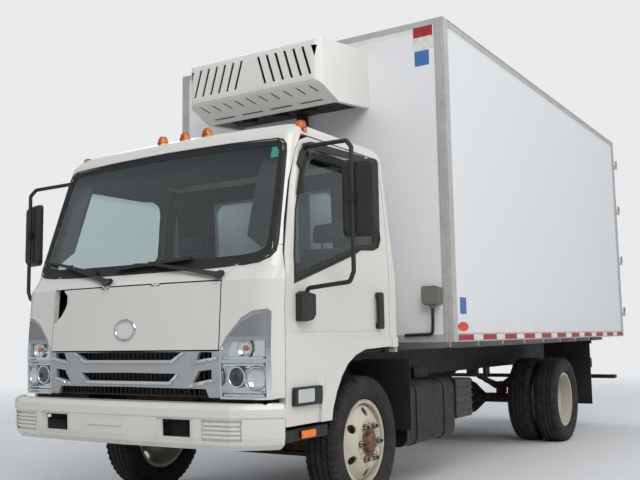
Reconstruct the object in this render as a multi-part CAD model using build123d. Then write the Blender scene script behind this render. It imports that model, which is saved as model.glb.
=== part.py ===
from build123d import *
import os
from functools import cache
from math import cos, pi, sin, sqrt

# Refrigerated delivery truck: a tilt-cab light truck with an insulated body and a
# nose-mounted cooling unit. Millimetres, +Z up, the front faces -Y and +X is the truck's left.
# Every y below is measured from the front axle. at_y() turns it into the frame, whose origin
# lies on the ground under the middle of the truck's length.

# Driving dimensions of the whole truck
WHEELBASE = 3810.0
FRONT_OVERHANG = 1245.0
BODY_START = 730.0
BODY_LENGTH = 4925.0
BODY_WIDTH = 2438.0
BODY_BOTTOM = 1006.0
BODY_TOP = 3308.0
STEP_REACH = 60.0

BODY_HALF = BODY_WIDTH / 2
BODY_REAR = BODY_START + BODY_LENGTH
AXLE_F = FRONT_OVERHANG - (FRONT_OVERHANG + BODY_REAR + STEP_REACH) / 2

# Gaps between pieces
SEAT_FIT = 0.3
RUNNING_FIT = 0.4
SEAM = 8.0

# Wheels and tyres
TYRE_R = 405.5
RIM_R = 260.0
RIM_HALF = 83.0
RIM_SEAT_DROP = 12.0
RIM_FLANGE = 3.2
RIM_WALL = 10.0
DISC_OFFSET = 118.0
DISC_WALL = 12.0
FRONT_TRACK = 1665.0
DUAL_TRACK = 1650.0
DUAL_SPACING = 260.0
HUB_R = 82.0
STUD_CIRCLE_R = 111.1
STUD_COUNT = 6
STUD_R = 16.0
STUD_PROUD = 24.0
HAND_HOLES = 6
HAND_HOLE_R = 27.0
HAND_HOLE_CIRCLE_R = 184.0

# Front axle and steering
KING_OFFSET = 97.5
KINGPIN_R = 17.0
KINGPIN_X = FRONT_TRACK / 2 - KING_OFFSET
BOSS_Z = (330.0, 440.0)
BOSS_R = 42.0
EAR = 26.0
EAR_GAP = 1.0
SPINDLE_R = 29.0
SPINDLE_REACH = 40.0
STEER_ARM = 180.0
STEER_STUD_R = 14.0
TIE_ROD_R = 16.0
TIE_ROD_Z = 285.0
BEAM_TOP = 400.0
REAR_TUBE_R = 48.0
DIFF_OFFSET = 11.0
SHAFT_R = 45.0

# Chassis frame
RAIL_OUT = 425.0
RAIL_FLANGE = 70.0
RAIL_WALL = 8.0
RAIL_BOTTOM = 730.0
RAIL_HEIGHT = 200.0
RAIL_FRONT = -900.0
RAIL_REAR_GAP = 70.0
RAIL_TOP = RAIL_BOTTOM + RAIL_HEIGHT
RAIL_WEB = RAIL_OUT - RAIL_WALL
RAIL_IN = RAIL_OUT - RAIL_FLANGE
RAIL_REAR = BODY_REAR - RAIL_REAR_GAP
MEMBER_HALF = 30.0
HANGER_FRONT = -1160.0
MEMBER_PLACES = (-870.0, 1340.0, 1900.0, 2600.0, 3300.0, 4400.0)
HITCH_SPACING_X = 85.7
HITCH_SPACING_Z = 44.5
HITCH_HOLE_R = 7.0
HITCH_UP = 85.0
SPRING_HALF = 35.0
LEAF = 13.0
LEAF_COUNT = 4

# Engine, gearbox and radiator
ENGINE_HALF = 270.0
ENGINE_FRONT = -580.0
ENGINE_BACK = 260.0
GEARBOX_BACK = 1250.0
RADIATOR_HALF = 300.0
RADIATOR_Y = (-820.0, -740.0)

# Cab shell
CAB_WALL = 42.0
DOOR_WALL = 60.0
PANEL_SKIN = 3.0
PANEL_FRAME = 30.0
GRILLE_WALL = 22.0
LAMP_DEEP = 70.0
GLASS = 6.0
LENS = 4.0
WINDSHIELD_IN = 6.0
SIDE_GLASS_IN = 22.0
FLARE_OUT = 18.0
ROOF_SPLIT = 2226.0
SILL_Z = 584.0
FRONT_BOTTOM = 742.0
CAB_PIVOT_Y = -1010.0
CAB_PIVOT_Z = 800.0
CAB_PIN_R = 20.0

# Cab floor
DECK_Z = 950.0
DECK_WALL = 36.0
TUB_Z = 650.0
TUB_INNER = 445.0
TUB_OUTER = 893.0
TUB_REAR = -525.0
TUB_SIDE = 30.0
FIREWALL_IN = 100.0
FIREWALL = 16.0
STEP_Z = (504.0, 566.0)

# Door hinges: an upright pin on the cab's pillar, inside the door's front edge
HINGE_X = 977.0
HINGE_Y = -892.0
HINGE_PIN_R = 7.0
HINGE_HEIGHTS = (820.0, 1225.0)
HINGE_ARM_Z = 12.0
HINGE_ARM_Y = 8.0
HINGE_POCKET_Z = 20.0
HINGE_POCKET_Y = 16.0
HINGE_PIN_Z = 40.0
HINGE_SKIN_X = 986.0

# Front panel's hinges: small knuckles in the seam under the cowl
LID_AXIS_Y = -1095.0
LID_AXIS_Z = 1366.0
LID_HINGE_X = 200.0
LID_ARM_HALF = 10.0
LID_EYE_R = 4.5
LID_PIN_R = 2.0
LID_NOTCH_HALF = 32.0
LID_NOTCH_DROP = 10.0
LID_LUG_GAP = 1.0
LID_LUG_WIDE = 14.0

# Insulated body
WALL_SIDE = 75.0
WALL_FRONT = 75.0
WALL_ROOF = 80.0
FLOOR = 110.0
RAIL_SKIN = 3.0
REAR_POST = 100.0
REAR_HEAD = 120.0
REAR_DEPTH = 120.0
LEAF_WALL = 85.0
LEAF_GAP = 8.0
LEAF_PIN_OUT = 16.0
LEAF_PIN_BACK = 35.0
LEAF_PIN_R = 7.0
LEAF_EYE_R = 12.0
LEAF_HINGES = (1300.0, 1900.0, 2500.0, 3050.0)
LOCK_ROD_X = 250.0
LOCK_ROD_R = 12.0
LOCK_ROD_OUT = 24.0

FLOOR_TOP = BODY_BOTTOM + FLOOR
ROOF_LOW = BODY_TOP - WALL_ROOF
BODY_BACK = BODY_REAR - REAR_DEPTH

# Cooling unit
UNIT_BACK_HALF = 608.0
UNIT_FRONT_HALF = 570.0
UNIT_FRONT_Y = 75.0
UNIT_WALL = 8.0
SLOT_COUNT = 6
SLOT_PITCH = 76.0
SLOT_WIDE = 22.0
SHORT_SLOTS = 10


def at_y(y):
    """Turns a distance behind the front axle into the frame's y."""
    return y + AXLE_F


def point(x, y, z):
    """A point of the truck, with y from the front axle."""
    return Vector(x, at_y(y), z)


def block(x0, x1, y0, y1, z0, z1):
    """A square-edged block between two corners."""
    return Solid.make_box(x1 - x0, y1 - y0, z1 - z0, Plane(point(x0, y0, z0)))


def rounded_bar(x, y, z, radius, along):
    """A bar between (low, high) pairs in x, y and z, with the four edges along one axis rounded."""
    centre = point(sum(x) / 2, sum(y) / 2, sum(z) / 2)
    spans = {"x": x[1] - x[0], "y": y[1] - y[0], "z": z[1] - z[0]}
    long = spans.pop(along)
    wide, high = spans.values()
    x_dir = (0, 1, 0) if along == "x" else (1, 0, 0)
    z_dir = {"x": (1, 0, 0), "y": (0, 1, 0), "z": (0, 0, 1)}[along]
    outline = Plane(centre, x_dir=x_dir, z_dir=z_dir) * RectangleRounded(wide, high, radius)
    return extrude(outline, long / 2, both=True).solid()


def side_prism(points, x0, x1):
    """An outline of (y, z) points run across the truck from x0 to x1."""
    wire = Wire.make_polygon([point(x0, y, z) for y, z in points], close=True)
    return Solid.extrude(Face(wire), Vector(x1 - x0, 0, 0))


def front_prism(points, y0, y1):
    """An outline of (x, z) points run along the truck from y0 to y1."""
    wire = Wire.make_polygon([point(x, y0, z) for x, z in points], close=True)
    return Solid.extrude(Face(wire), Vector(0, y1 - y0, 0))


def plan_prism(points, z0, z1):
    """An outline of (x, y) points run upwards from z0 to z1."""
    wire = Wire.make_polygon([point(x, y, z0) for x, y in points], close=True)
    return Solid.extrude(Face(wire), Vector(0, 0, z1 - z0))


def rod(start, end, radius):
    """A round bar between two points."""
    a = point(*start)
    b = point(*end)
    return Solid.make_cylinder(radius, (b - a).length, Plane(a, z_dir=b - a))


def upright(x, y, z0, z1, radius):
    """A round bar standing between two heights."""
    return rod((x, y, z0), (x, y, z1), radius)


def across(x0, x1, y, z, radius):
    """A round bar lying across the truck."""
    return rod((x0, y, z), (x1, y, z), radius)


def turned(profile, x, y, z, side):
    """A closed profile of (outboard, radius) points turned about a line across the truck."""
    wire = Wire.make_polygon([point(x + side * out, y, z + r) for out, r in profile], close=True)
    return Solid.revolve(Face(wire), 360, Axis(point(x, y, z), (1, 0, 0)))


def tube_run(points, radius, bend):
    """A round tube bent along a row of points."""
    path = FilletPolyline(*[point(*p) for p in points], radius=bend)
    start = Plane(path @ 0, z_dir=path % 0)
    return one(sweep(start * Circle(radius), path=path))


def one(result):
    """The solids of a cut or a join, as one shape."""
    solids = result.solids()
    return solids[0] if len(solids) == 1 else Compound(children=list(solids))


def minus(shape, *tools):
    """A shape with other shapes taken away."""
    return one(shape.cut(*tools))


def common(shape, tool):
    """What two shapes share."""
    return one(ShapeList(shape.intersect(tool)))


def union(*shapes):
    """Touching shapes as one solid."""
    return one(shapes[0].fuse(*shapes[1:]))


def other_side(shape):
    """The same shape on the truck's right."""
    return one(Compound(children=[solid.mirror(Plane.YZ) for solid in shape.solids()]))


def beside(*shapes):
    """Several shapes that don't touch, kept in one node."""
    return Compound(children=[solid for shape in shapes for solid in shape.solids()])


def both(shape):
    """A left-hand shape together with its right-hand twin."""
    return beside(shape, other_side(shape))


def shrunk(points, by):
    """A closed outline of point pairs drawn in (or, below zero, grown) by a margin."""
    face = Face(Wire.make_polygon([(a, b, 0) for a, b in points], close=True))
    moved = offset(Sketch() + face, -by, kind=Kind.INTERSECTION)
    edges = moved.faces()[0].outer_wire().order_edges()
    return [((edge @ 0).X, (edge @ 0).Y) for edge in edges]


def both_halves(points):
    """A right-left symmetric (x, z) outline from its left half."""
    return points + [(-x, z) for x, z in reversed(points) if x > 0]


NODES = {}


def keep(name, shape):
    """Stores a finished node under its name."""
    NODES[name] = shape


def keep_pair(name, shape):
    """Stores a left-hand node and its right-hand twin."""
    keep(f"{name}_left", shape)
    keep(f"{name}_right", other_side(shape))


# The cab's outer form as plan outlines from the sill up. The roof's rows come down with the wall.
# Columns: height, half width, front at the middle, corner x, corner y, side start y, back y
CAB_SECTIONS = [
    (560, 985, -1104, 850, -1066, -950, 352),
    (760, 992, -1114, 852, -1076, -952, 366),
    (1000, 992, -1124, 854, -1084, -955, 370),
    (1368, 992, -1100, 850, -1060, -935, 370),
    (1440, 989, -1040, 845, -1000, -900, 370),
]
ROOF_SECTIONS = [
    (2216, 922, -776, 850, -752, -690, 335),
    (2266, 907, -728, 832, -700, -640, 325),
    (2296, 878, -692, 800, -652, -590, 308),
    (2320, 815, -640, 732, -585, -515, 270),
    (2336, 700, -560, 610, -500, -430, 190),
    (2345, 470, -430, 390, -370, -300, 40),
]
CORNER_SWELL = 0.2
BACK_CORNER = 55.0
FRONT_ROW = CAB_SECTIONS[3]


def cab_section(row, inset, z):
    """One plan outline of the cab at a height, drawn inwards by a wall."""
    half, front, corner_x, corner_y, side_y, back = row[1:]
    half = half - inset
    front = front + inset
    corner_x = corner_x - inset * 0.45
    corner_y = corner_y + inset * 0.9
    side_y = side_y + inset * 0.35
    back = back - inset
    turn = BACK_CORNER - inset * 0.3
    swell_x = (corner_x + half) / 2 + (side_y - corner_y) * CORNER_SWELL
    swell_y = (corner_y + side_y) / 2 - (half - corner_x) * CORNER_SWELL
    bend = turn * (1 - sqrt(0.5))
    front_left = point(corner_x, corner_y, z)
    front_right = point(-corner_x, corner_y, z)
    edges = [
        ThreePointArc(front_right, point(0, front, z), front_left),
        ThreePointArc(front_left, point(swell_x, swell_y, z), point(half, side_y, z)),
        Line(point(half, side_y, z), point(half, back - turn, z)),
        ThreePointArc(point(half, back - turn, z), point(half - bend, back - bend, z),
                      point(half - turn, back, z)),
        Line(point(half - turn, back, z), point(turn - half, back, z)),
        ThreePointArc(point(turn - half, back, z), point(bend - half, back - bend, z),
                      point(-half, back - turn, z)),
        Line(point(-half, back - turn, z), point(-half, side_y, z)),
        ThreePointArc(point(-half, side_y, z), point(-swell_x, swell_y, z), front_right),
    ]
    return Wire(edges)


@cache
def cab_form(inset):
    """The cab as a full solid, drawn inwards by a wall."""
    wires = [cab_section(row, inset, row[0]) for row in CAB_SECTIONS]
    wires += [cab_section(row, inset, row[0] - inset) for row in ROOF_SECTIONS]
    return Solid.make_loft(wires, ruled=True)


@cache
def cab_skin(outer, inner):
    """The cab's wall between two depths under its surface."""
    return minus(cab_form(outer), cab_form(inner))


def in_skin(outer, inner, zone):
    """What a zone holds of the cab's wall between two depths under its surface."""
    return minus(common(cab_form(outer), zone), cab_form(inner))


def front_column(inset, z0, z1):
    """An upright column with the plan outline of the cab's front, drawn inwards."""
    return Solid.extrude(Face(cab_section(FRONT_ROW, inset, z0)), Vector(0, 0, z1 - z0))


# Outlines in the cab's side, as (y, z) points
DOOR_FRONT = [(-952, SILL_Z), (-950, 1253), (-919, 1523), (-878, 1692), (-809, 1926), (-735, 2115), (-690, 2185)]
DOOR_ARCH = [(226, 985), (-121, 972), (-240, 942), (-330, 895), (-400, 830), (-460, 745), (-500, 650),
             (-510, SILL_Z)]
DOOR_OUTLINE = DOOR_FRONT + [(-600, 2220), (120, 2220), (200, 2180), (258, 2050), (264, 1750), (232, 1300)] + DOOR_ARCH
PILLAR_OUTLINE = [(230, 985), (236, 1300), (268, 1750), (262, 2050), (204, 2184), (150, ROOF_SPLIT),
                  (275, ROOF_SPLIT), (310, 1440), (310, 985)]
REAR_SPLIT = [(310, DECK_Z), (310, 1440), (275, ROOF_SPLIT), (420, ROOF_SPLIT), (420, DECK_Z)]
WINDOW_OUTLINE = [
    (-850, 1362), (-840, 1500), (-790, 1750), (-715, 1960), (-655, 2085), (-600, 2120),
    (60, 2120), (130, 2085), (160, 2020), (165, 1680), (130, 1630), (60, 1608), (-100, 1596), (-190, 1560),
]
FLARE_OUTLINE = [(-623, 560), (-623, 652), (-610, 733), (-566, 814), (-509, 895), (-441, 967), (-348, 1017),
                 (-231, 1039), (-46, 1046), (330, 1046), (330, 900), (-300, 700), (-400, 560)]
ARCH_HOLE = [(310, 988)] + DOOR_ARCH + [(310, SILL_Z)]
VISOR_OUTLINE = [(-742, 2035), (-700, 2110), (-650, 2162), (-590, 2188), (-100, 2204), (46, 2208), (46, 2178),
                 (-100, 2168), (-560, 2138), (-620, 2100), (-678, 2030), (-708, 1985)]
BRACKET_OUTLINE = [(-850, 1142), (-850, 1288), (-822, 1304), (-712, 1290), (-712, 1180), (-738, 1152), (-800, 1140)]
VENT_SLOT = [(-897, 1765), (-880, 1765), (-834, 1925), (-851, 1925)]

# Outlines in the cab's front, left half, as (x, z) points
WINDSHIELD_OUTLINE = [
    (0, 1446), (500, 1449), (760, 1460), (880, 1478), (918, 1510), (916, 1560), (898, 1800), (873, 2120),
    (862, 2165), (830, 2182), (500, 2196), (0, 2202),
]
HEADLAMP_OUTLINE = [
    (666, 736), (666, 995), (704, 1064), (797, 1165), (862, 1198), (940, 1209), (958, 1194), (959, 736),
]
GARNISH_RECESS = [(721, 1064), (800, 1146), (865, 1180), (944, 1190), (948, 1064)]
TURN_LENS = [(676, 942), (676, 998), (702, 1040), (940, 1044), (940, 942)]
BEAM_LENS = [(674, 746), (674, 926), (938, 930), (938, 746)]
PANEL_HALF = 657.0
PANEL_BOTTOM = 997.0
PANEL_TOP = 1366.0
PANEL_DENT = [(-670, 1372), (-670, 1158), (-632, 1174), (-588, 1206), (-552, 1250), (-532, 1290), (-538, 1334),
              (-566, 1354), (-572, 1372)]
# Mouths in the grille, left half, as (x, z) points, the last open downwards
MOUTHS = [
    [(0, 990), (420, 986), (342, 942), (0, 942)],
    [(0, 872), (376, 868), (326, 824), (0, 824)],
    [(533, 986), (616, 986), (615, 954), (512, 941)],
    [(527, 883), (612, 892), (611, 840), (484, 818)],
    [(0, 792), (572, 788), (594, 735), (0, 735)],
]
# Bright lips under the mouths, left half
LIPS = [
    [(0, 942), (342, 942), (420, 986), (440, 982), (350, 926), (0, 926)],
    [(0, 824), (326, 824), (376, 868), (394, 862), (334, 808), (0, 808)],
    [(656, 961), (615, 954), (512, 941), (474, 917), (504, 922), (656, 947)],
    [(656, 848), (611, 840), (484, 818), (442, 791), (480, 797), (656, 832)],
]
LIP_OUT = 6.0
RIB_PITCH = 34.0
RIB_HALF = 3.0
RIB_DEEP = 12.0
REAR_WINDOW_HALF = 520.0
REAR_WINDOW_Z = (1600.0, 2060.0)
COWL_SEAM = [(651, PANEL_TOP), (655, PANEL_TOP), (711, 1452), (706, 1454)]


def front_zone(gap):
    """Everything ahead of the doors, up to the roof's split."""
    line = [(y - gap, z) for y, z in DOOR_FRONT[1:]]
    edge = [(-1300, FRONT_BOTTOM), (DOOR_FRONT[0][0] - gap, FRONT_BOTTOM)] + line
    return side_prism(edge + [(-665, ROOF_SPLIT), (-1300, ROOF_SPLIT)], -1100, 1100)


def make_cab_shell():
    shell = cab_skin(0, CAB_WALL)
    windshield_hole = front_prism(both_halves(WINDSHIELD_OUTLINE), -1300, -640)
    lamp_hole = front_prism(shrunk(HEADLAMP_OUTLINE, -SEAT_FIT), -1300, -940)
    middle = PANEL_HALF + SEAM
    middle_hole = block(-middle, middle, -1300, -900, 700, PANEL_TOP + SEAM)
    front = minus(common(shell, front_zone(SEAM / 2)), windshield_hole, lamp_hole, other_side(lamp_hole), middle_hole)
    grooves = in_skin(-5, 5, union(front_prism(COWL_SEAM, -1300, -900), side_prism(VENT_SLOT, 700, 1100),
                                            block(700, 1100, -960, -880, 1553, 1557)))
    slot = in_skin(-5, 14, side_prism(VENT_SLOT, 700, 1100))
    cuts = [grooves, slot]
    front = minus(front, *cuts, *[other_side(cut) for cut in cuts])
    near = LID_ARM_HALF + LID_LUG_GAP
    far = near + LID_LUG_WIDE
    lugs = [across(LID_HINGE_X - far, LID_HINGE_X + far, LID_AXIS_Y, LID_AXIS_Z, LID_PIN_R)]
    for x0, x1 in ((LID_HINGE_X - far, LID_HINGE_X - near), (LID_HINGE_X + near, LID_HINGE_X + far)):
        lugs.append(across(x0, x1, LID_AXIS_Y, LID_AXIS_Z, LID_EYE_R))
        lugs.append(block(x0, x1, LID_AXIS_Y - 2, LID_AXIS_Y + LID_EYE_R, LID_AXIS_Z, PANEL_TOP + SEAM + 3))
    hinge = union(*lugs)
    keep("cab_front", union(front, hinge, other_side(hinge)))

    pillar = common(shell, side_prism(PILLAR_OUTLINE, 600, 1100))
    flare = in_skin(-FLARE_OUT, 10, common(side_prism(FLARE_OUTLINE, 700, 1100),
                                                    side_prism(PILLAR_OUTLINE, 600, 1100)))
    keep("cab_sides", both(union(pillar, flare)))

    keep("cab_roof", common(shell, block(-1100, 1100, -1000, 420, ROOF_SPLIT, 2400)))

    rear = common(shell, side_prism(REAR_SPLIT, -1100, 1100))
    window = rounded_bar((-REAR_WINDOW_HALF, REAR_WINDOW_HALF), (200, 420), REAR_WINDOW_Z, 70, "y")
    ribs = [rounded_bar((x - 40, x + 40), (366, 384), (1120, 1540), 20, "y") for x in (-480, -240, 0, 240, 480)]
    rear = minus(rear, window, block(-345, 345, 200, 420, 900, 1090))
    keep("cab_rear_wall", union(rear, *ribs))

    windshield = common(cab_skin(WINDSHIELD_IN, WINDSHIELD_IN + GLASS),
                        front_prism(shrunk(both_halves(WINDSHIELD_OUTLINE), SEAT_FIT), -1300, -640))
    half = REAR_WINDOW_HALF - SEAT_FIT
    low, high = REAR_WINDOW_Z
    pane = rounded_bar((-half, half), (200, 420), (low + SEAT_FIT, high - SEAT_FIT), 70, "y")
    rear_glass = in_skin(SIDE_GLASS_IN, SIDE_GLASS_IN + GLASS, pane)
    keep("cab_glass", beside(windshield, rear_glass))


def make_cab_front_pieces():
    half = PANEL_HALF
    sheet = in_skin(0, PANEL_SKIN, block(-half, half, -1300, -900, PANEL_BOTTOM, PANEL_TOP))
    edge = 40.0
    frame = common(cab_skin(PANEL_SKIN - 1, PANEL_FRAME),
                   minus(block(-half + edge, half - edge, -1300, -900, PANEL_BOTTOM + edge, PANEL_TOP - edge),
                         block(-half + 3 * edge, -edge, -1300, -900, PANEL_BOTTOM + 3 * edge, PANEL_TOP - 3 * edge),
                         block(edge, half - 3 * edge, -1300, -900, PANEL_BOTTOM + 3 * edge, PANEL_TOP - 3 * edge)))
    dent = front_prism(PANEL_DENT, -1300, -900)
    notch = block(LID_HINGE_X - LID_NOTCH_HALF, LID_HINGE_X + LID_NOTCH_HALF, -1300, -900,
                  PANEL_TOP - LID_NOTCH_DROP, PANEL_TOP + 10)
    panel = minus(union(sheet, frame), dent, notch, other_side(notch))
    fold = plan_prism([(-534, -1096), (-524, -1092), (-546, -1058), (-588, -1034), (-592, -1041), (-553, -1064)],
                      1240, 1345)
    fold = common(fold, cab_form(PANEL_SKIN / 2))
    arm = union(block(LID_HINGE_X - LID_ARM_HALF, LID_HINGE_X + LID_ARM_HALF, LID_AXIS_Y - 2, LID_AXIS_Y + LID_EYE_R,
                      PANEL_TOP - LID_NOTCH_DROP - 40, LID_AXIS_Z),
                across(LID_HINGE_X - LID_ARM_HALF, LID_HINGE_X + LID_ARM_HALF, LID_AXIS_Y, LID_AXIS_Z, LID_EYE_R))
    bore = across(LID_HINGE_X - 50, LID_HINGE_X + 50, LID_AXIS_Y, LID_AXIS_Z, LID_PIN_R + RUNNING_FIT)
    panel = minus(union(panel, fold, arm, other_side(arm)), bore, other_side(bore))
    keep("front_panel", panel)

    width = PANEL_HALF + SEAM - SEAT_FIT
    zone = block(-width, width, -1300, -900, FRONT_BOTTOM, PANEL_BOTTOM - SEAM)
    grille = in_skin(0, GRILLE_WALL, zone)
    mouths = [front_prism(mouth, -1300, -900) for mouth in MOUTHS]
    grille = minus(grille, *mouths, *[other_side(mouth) for mouth in mouths])
    lips = [in_skin(-LIP_OUT, GRILLE_WALL / 2, common(front_prism(lip, -1300, -900), zone)) for lip in LIPS]
    keep("grille", union(grille, *lips, *[other_side(lip) for lip in lips]))

    rib_top = PANEL_BOTTOM - SEAM
    bars = [block(x - RIB_HALF, x + RIB_HALF, -1300, -900, FRONT_BOTTOM, rib_top)
            for x in [RIB_PITCH * i for i in range(-18, 19)]]
    bars += [block(-RIB_PITCH * 18, RIB_PITCH * 18, -1300, -900, z - 4, z + 4) for z in (746, 806, 906, 985)]
    back = GRILLE_WALL + SEAT_FIT
    keep("grille_ribs", in_skin(back, back + RIB_DEEP, union(*bars)))

    lamp = in_skin(0, LAMP_DEEP, front_prism(HEADLAMP_OUTLINE, -1300, -962))
    recess = in_skin(-5, 5, union(front_prism(GARNISH_RECESS, -1300, -900),
                                           block(660, 962, -1300, -900, 1050, 1055),
                                           block(660, 962, -1300, -900, 932, 937)))
    turn_pocket = in_skin(-5, 40, front_prism(TURN_LENS, -1300, -900))
    beam_pocket = in_skin(-5, 54, front_prism(BEAM_LENS, -1300, -900))
    lamp = minus(lamp, recess, turn_pocket, beam_pocket)
    projector = union(rod((760, -1062, 852), (760, -1010, 852), 42), rod((760, -1046, 852), (760, -1010, 852), 54))
    bulb = rod((808, -1052, 1003), (808, -1015, 1003), 17)
    fins = [block(676, 900, -1050, -1015, z, z + 5) for z in (772, 900)]
    inner = cab_form(8)
    keep("headlamps", both(union(lamp, common(projector, inner), common(bulb, inner),
                                 *[common(fin, inner) for fin in fins])))
    lenses = [in_skin(0, LENS, front_prism(shrunk(outline, SEAT_FIT), -1300, -900))
              for outline in (TURN_LENS, BEAM_LENS)]
    keep("headlamp_lenses", both(beside(*lenses)))


def make_cab_floor():
    fit = cab_form(DOOR_WALL + 6)
    deck = common(block(-950, 950, -1058, 325, DECK_Z, DECK_Z + DECK_WALL), fit)
    deck = common(deck, union(front_column(FIREWALL_IN, 0, 2000), block(-1000, 1000, -880, 330, 0, 2000)))
    rear_deck = common(block(-950, 950, 240, 345, DECK_Z, DECK_Z + DECK_WALL), cab_form(CAB_WALL + SEAT_FIT))
    well = block(TUB_INNER + TUB_SIDE, 1000, -1100, TUB_REAR - TUB_SIDE, DECK_Z - 10, DECK_Z + 60)
    tunnel = block(-320, 320, -700, 400, DECK_Z - 10, DECK_Z + 60)
    deck = minus(union(deck, rear_deck), well, other_side(well), tunnel)

    front = front_column(FIREWALL_IN, 0, 2000)
    tub_side = block(TUB_INNER, TUB_INNER + TUB_SIDE, -1058, TUB_REAR, TUB_Z, DECK_Z + 5)
    tub_back = block(TUB_INNER, TUB_OUTER, TUB_REAR - TUB_SIDE, TUB_REAR, TUB_Z, DECK_Z + 5)
    tub_floor = block(TUB_INNER, TUB_OUTER, -1058, TUB_REAR, TUB_Z, TUB_Z + DECK_WALL)
    tub = common(common(union(tub_floor, tub_side, tub_back), fit), front)

    wall = minus(front_column(FIREWALL_IN, TUB_Z, 1414), front_column(FIREWALL_IN + FIREWALL, 0, 2000))
    wall = common(wall, block(-850, 850, -1100, -880, TUB_Z, 1414))
    wall = minus(wall, block(-TUB_INNER, TUB_INNER, -1100, -880, 0, DECK_Z))

    pillar = plan_prism([(838, -945), (838, -898), (866, -898), (884, -955), (949, -955), (949, -961.5), (880, -961.5)],
                        TUB_Z, 1374)
    pillar = minus(pillar, in_skin(-5, CAB_WALL + SEAT_FIT, front_zone(SEAM / 2 - SEAT_FIT)))
    arms = [block(846, HINGE_X, HINGE_Y - HINGE_ARM_Y, HINGE_Y + HINGE_ARM_Y, z - HINGE_ARM_Z, z + HINGE_ARM_Z)
            for z in HINGE_HEIGHTS]
    pins = [upright(HINGE_X, HINGE_Y, z - HINGE_PIN_Z, z + HINGE_PIN_Z, HINGE_PIN_R) for z in HINGE_HEIGHTS]

    low, high = STEP_Z
    step = block(700, 975, -945, -520, low, high)
    step = minus(step, block(730, 945, -905, -560, high - 8, high + 10))
    lamp = rounded_bar((960, 985), (-795, -667), (519, 551), 8, "x")
    hangers = [block(720, 890, y, y + 24, high - 10, TUB_Z + 10) for y in (-900, -590)]
    liner = minus(side_prism(shrunk(ARCH_HOLE, 10), 860, 984), side_prism(shrunk(ARCH_HOLE, 16), 800, 1000),
                  block(800, 1000, -700, 400, 500, 610), block(800, 1000, 285, 400, 500, 1100))
    side = union(tub, pillar, step, lamp, *hangers, *arms, *pins, liner)

    hump = minus(block(-345, 345, -725, 320, DECK_Z + DECK_WALL, 1120),
                 block(-315, 315, -695, 400, DECK_Z - 10, 1090))
    arm = minus(block(300, 345, -1035, -985, CAB_PIVOT_Z - 45, DECK_Z + 10),
                across(290, 355, CAB_PIVOT_Y, CAB_PIVOT_Z, CAB_PIN_R + RUNNING_FIT))
    web = block(300, 345, -1000, -880, DECK_Z - 60, DECK_Z + 10)
    arm = union(arm, web)
    keep("cab_floor", union(deck, wall, side, other_side(side), hump, arm, other_side(arm)))


WHEEL_AT = (560.0, -600.0, 1400.0)
WHEEL_LEAN = 0.61
WHEEL_RING_R = 205.0


def make_cab_inside():
    dash = side_prism([(-1045, 1180), (-1060, 1330), (-985, 1425), (-820, 1400), (-760, 1330), (-790, 1230),
                       (-900, 1180)], -880, 880)
    console = block(-200, 200, -900, -790, DECK_Z + DECK_WALL, 1200)
    binnacle = side_prism([(-900, 1395), (-860, 1470), (-760, 1455), (-740, 1380), (-800, 1330)], 300, 660)
    dash = common(union(dash, console, binnacle), cab_form(DOOR_WALL + 16))
    dash = common(dash, union(front_column(FIREWALL_IN + FIREWALL + SEAT_FIT, 0, 2400),
                              block(-900, 900, -880, -600, 0, 2400)))
    corner = plan_prism([(820, -1060), (820, -858), (900, -858), (960, -1060)], 1000, 1480)
    dash = minus(dash, corner, other_side(corner))
    keep("dashboard", dash)
    lean = Vector(0, sin(WHEEL_LEAN), cos(WHEEL_LEAN))
    centre = point(*WHEEL_AT)
    ring = Solid.make_torus(WHEEL_RING_R, 15, Plane(centre, z_dir=lean))
    hub = Solid.make_cylinder(48, 40, Plane(centre - lean * 30, z_dir=lean))
    spokes = [Solid.make_cylinder(12, WHEEL_RING_R - 5, Plane(centre, z_dir=turn))
              for turn in (Vector(1, 0, 0), Vector(-1, 0, 0), Vector(0, lean.Z, -lean.Y))]
    column = Solid.make_cylinder(28, 760, Plane(centre - lean * 10, z_dir=-lean))
    column = common(column, front_column(FIREWALL_IN + FIREWALL + SEAT_FIT, 600, 1500))
    shroud = Solid.make_cylinder(44, 200, Plane(centre - lean * 40, z_dir=-lean))
    bracket = block(WHEEL_AT[0] - 20, WHEEL_AT[0] + 20, -840, -800, 1080, 1240)
    bracket = minus(bracket, dash)
    keep("steering_wheel", union(column, shroud, hub, ring, bracket, *spokes))
    hump_top = 1120 + SEAT_FIT
    seats = []
    for x0, x1, foot0, foot1 in ((330, 830, 360, 810), (-830, -40, -810, -360)):
        cushion = side_prism([(-430, 1140), (-400, 1250), (60, 1230), (60, 1140)], x0, x1)
        back = side_prism([(60, 1140), (60, 1240), (150, 1820), (230, 1820), (200, 1140)], x0, x1)
        riser = block(x0 + 30, x1 - 30, -350, 150, hump_top, 1140)
        foot = block(foot0, foot1, -330, 150, DECK_Z + DECK_WALL, hump_top)
        seats.append(union(cushion, back, riser, foot))
    keep("seats", beside(*seats))


# Wipers: the pivot's (x, z), the blade's two ends and the place where the arm holds it
WIPERS = [
    ((646, 1403), (-160, 1476), (400, 1510), (120, 1493)),
    ((-180, 1399), (-880, 1572), (-330, 1462), (-600, 1516)),
]


def strip(start, end, wide0, wide1):
    """A straight band between two (x, z) points, as an outline."""
    (x0, z0), (x1, z1) = start, end
    length = sqrt((x1 - x0) ** 2 + (z1 - z0) ** 2)
    nx, nz = -(z1 - z0) / length, (x1 - x0) / length
    return [(x0 + nx * wide0, z0 + nz * wide0), (x1 + nx * wide1, z1 + nz * wide1),
            (x1 - nx * wide1, z1 - nz * wide1), (x0 - nx * wide0, z0 - nz * wide0)]


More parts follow.
